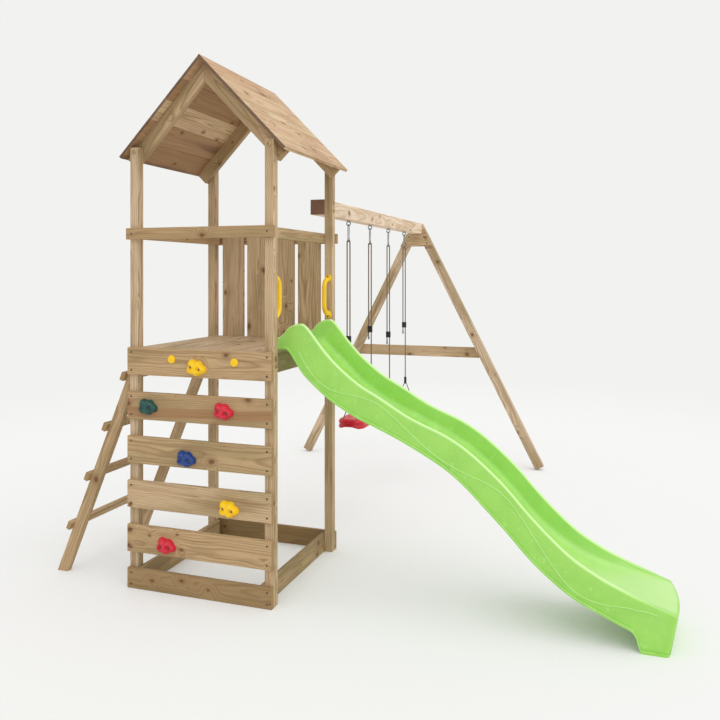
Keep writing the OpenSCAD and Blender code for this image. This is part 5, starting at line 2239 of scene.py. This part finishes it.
@dataclass(frozen=True)
class Swings:
    """Both swings: fittings, hangers and seats."""

    hangers: tuple[float, ...] = (1336.0, 1786.0, 2236.0, 2686.0)
    seats: tuple[float, ...] = (1561.0, 2461.0)
    adjusters: tuple[float, ...] = (1187.0, 1224.0, 1153.0, 1199.0)
    # How much lower the far swing is set
    drops: tuple[float, ...] = (0.0, 38.0)
    # Distance in metres within which a corner belongs to a hanger
    near: float = 0.1
    crease: float = 30.0
    # Widths of the eased edges of eyes, hooks, gates, sleeves, adjusters and crimps
    eases: tuple[float, ...] = (0.4, 0.3, 0.2, 1.0, 1.4, 0.8)

    def fitting(
        self, name: str, node: str, keep: Optional[float], ease: float, look: Look, body: Body
    ) -> Piece:
        """Dresses a fitting's solid, or the half of it that hangs at one depth.

        Args:
            name: the piece's name.
            node: the solid.
            keep: depth of the hanger whose half is kept, or None for all.
            ease: width of its eased edges.
            look: its finish.
            body: the body that it rides on.

        Returns:
            The object.
        """
        shape = merged_copy(node, ease)
        if keep is not None:
            depth = (keep - ORIGIN[1]) / MM
            others = [v for v in shape.verts if abs(v.co.y - depth) > self.near]
            bmesh.ops.delete(shape, geom=others, context="VERTS")
        piece = shape_object(name, shape)
        soften(piece, self.crease)
        return finish_piece(piece, look, body, node)

    def build(self) -> None:
        """Makes the swings from the beam down."""
        steel, black = Look.STEEL, Look.BLACK
        eye, hook, latch, sleeve, slider, crimp = self.eases
        self.fitting("beam_eyes", "hanging_eyes", None, eye, steel, Body.FRAME)
        for number, (y, height) in enumerate(zip(self.hangers, self.adjusters), 1):
            k = (number + 1) // 2
            body, gate = Body(f"swing_{k}"), Body(f"gate_body_{number}")
            self.fitting(f"snap_hook_{number}", f"snap_hooks_{k}", y, hook, steel, body)
            self.fitting(f"hook_gate_{number}", f"gate_{number}", None, latch, steel, gate)
            self.fitting(f"bridle_sleeve_{number}", f"ferrules_{k}", y, sleeve, black, body)
            on_rope = [
                self.fitting(f"rope_adjuster_{number}", f"adjusters_{k}", y, slider, black, body),
                self.fitting(f"rope_crimp_{number}", f"crimps_{k}", y, crimp, steel, body),
            ]
            Hanger(number, k, y, height, self.drops[k - 1]).build(on_rope)
        for k, y in enumerate(self.seats, 1):
            SwingSeat(k, y, self.drops[k - 1]).build()


# Studio


@dataclass(frozen=True)
class Studio:
    """Pale floor that fades into a white room, one soft lamp and the camera.

    Its own lengths are in metres and its turns in degrees; the lens is in millimetres.
    """

    room: str = "#f2f2f0"
    floor: str = "#f1f1f0"
    sky: float = 0.8
    camera_at: Triple = (1.3303, -4.9382, 1.6101)
    camera_turn: Triple = (90.0, 0.0, 19.519)
    lens: float = 38.552
    sensor: float = 36.0
    shift: Pair = (0.0148, -0.1191)
    floor_r: float = 9.0
    floor_sides: int = 96
    fade_from: float = 3.2
    fade_to: float = 7.5
    # Share of the room that shows through the floor and keeps its wide shadows pale
    see_through: float = 0.45
    # Height in metres under which something above the floor leaves a denser shadow
    contact: float = 0.5
    key_from: Triple = (0.8, -0.45, 1.35)
    key_spread: float = 80.0
    key_power: float = 1.15

    def camera(self) -> None:
        """Sets the camera at the photograph's viewing angle."""
        lens = bpy.data.cameras.new("camera")
        lens.lens, lens.sensor_width = self.lens, self.sensor
        lens.shift_x, lens.shift_y = self.shift
        holder = link_object("camera", lens)
        holder.location = self.camera_at
        holder.rotation_euler = [math.radians(a) for a in self.camera_turn]
        bpy.context.scene.camera = holder

    def shown(self, add: Adder) -> Source:
        """Tells rays that see the room, also in metal or through glass, from those that light.

        Args:
            add: the function that adds nodes.

        Returns:
            A socket that is 1 where the room is seen.
        """
        path = add("ShaderNodeLightPath").outputs
        seen = path["Is Camera Ray"]
        for other in ("Is Glossy Ray", "Is Transmission Ray"):
            seen = add("ShaderNodeMath", {0: seen, 1: path[other]}, operation="MAXIMUM")
        return seen

    def world(self) -> None:
        """Lights the room evenly and shows it as a pale backdrop."""
        world = bpy.data.worlds.new("white_room")
        world.use_nodes = True
        world.node_tree.nodes.clear()
        bpy.context.scene.world = world
        add = partial(add_node, world.node_tree)
        light = add("ShaderNodeBackground", {"Color": (1.0, 1.0, 1.0, 1.0), "Strength": self.sky})
        back = add("ShaderNodeBackground", {"Color": linear(self.room), "Strength": 1.0})
        mix = add("ShaderNodeMixShader", {0: self.shown(add), 1: light, 2: back})
        add("ShaderNodeOutputWorld", {0: mix})

    def ground(self) -> None:
        """Lays the floor, which fades out away from the tower and keeps its shadow."""
        turns = np.linspace(0, 2 * math.pi, self.floor_sides, endpoint=False)
        ring = self.floor_r * MM * np.stack([np.cos(turns), np.sin(turns), 0 * turns], axis=1)
        floor = mesh_object("studio_floor", ring + ORIGIN, [tuple(range(len(ring)))])
        material, add = new_material("pale_floor")
        place = add("ShaderNodeTexCoord").outputs["Object"]
        far = add("ShaderNodeVectorMath", {0: place}, operation="LENGTH").outputs["Value"]
        free = add("ShaderNodeAmbientOcclusion", {"Distance": self.contact}).outputs["AO"]
        pale = add("ShaderNodeMath", {0: free, 1: self.see_through}, operation="MULTIPLY")
        through = add("ShaderNodeMath", {0: pale, 1: self.shown(add)}, operation="MULTIPLY")
        fade = add(
            "ShaderNodeMapRange",
            {
                "Value": far,
                "From Min": self.fade_from,
                "From Max": self.fade_to,
                "To Min": through,
            },
            interpolation_type="SMOOTHSTEP",
        )
        paint = add("ShaderNodeBsdfDiffuse", {"Color": linear(self.floor)})
        clear = add("ShaderNodeBsdfTransparent")
        mix = add("ShaderNodeMixShader", {0: fade, 1: paint, 2: clear})
        add("ShaderNodeOutputMaterial", {0: mix})
        floor.data.materials.append(material)

    def lamp(self) -> None:
        """Sets one wide, soft lamp to the upper right, which lights the whole floor alike."""
        light = bpy.data.lights.new("key", "SUN")
        light.energy, light.angle = self.key_power, math.radians(self.key_spread)
        holder = link_object("key", light)
        holder.rotation_euler = Vector(self.key_from).to_track_quat("Z", "Y").to_euler()

    def build(self) -> None:
        """Sets up the studio."""
        bpy.context.scene.view_settings.view_transform = "Standard"
        self.camera()
        self.world()
        self.ground()
        self.lamp()


def main() -> None:
    """Builds the studio and every piece."""
    logging.basicConfig(level=logging.INFO, format="%(message)s")
    Studio().build()
    Swings().build()
    Timbers().build()
    WaveSlide().build()
    stones, handles = ClimbingStones(), GrabHandles()
    stones.build()
    handles.build()
    Fasteners().build(stones.bolt_seats(), handles.screw_seats())


if __name__ == "__main__":
    main()
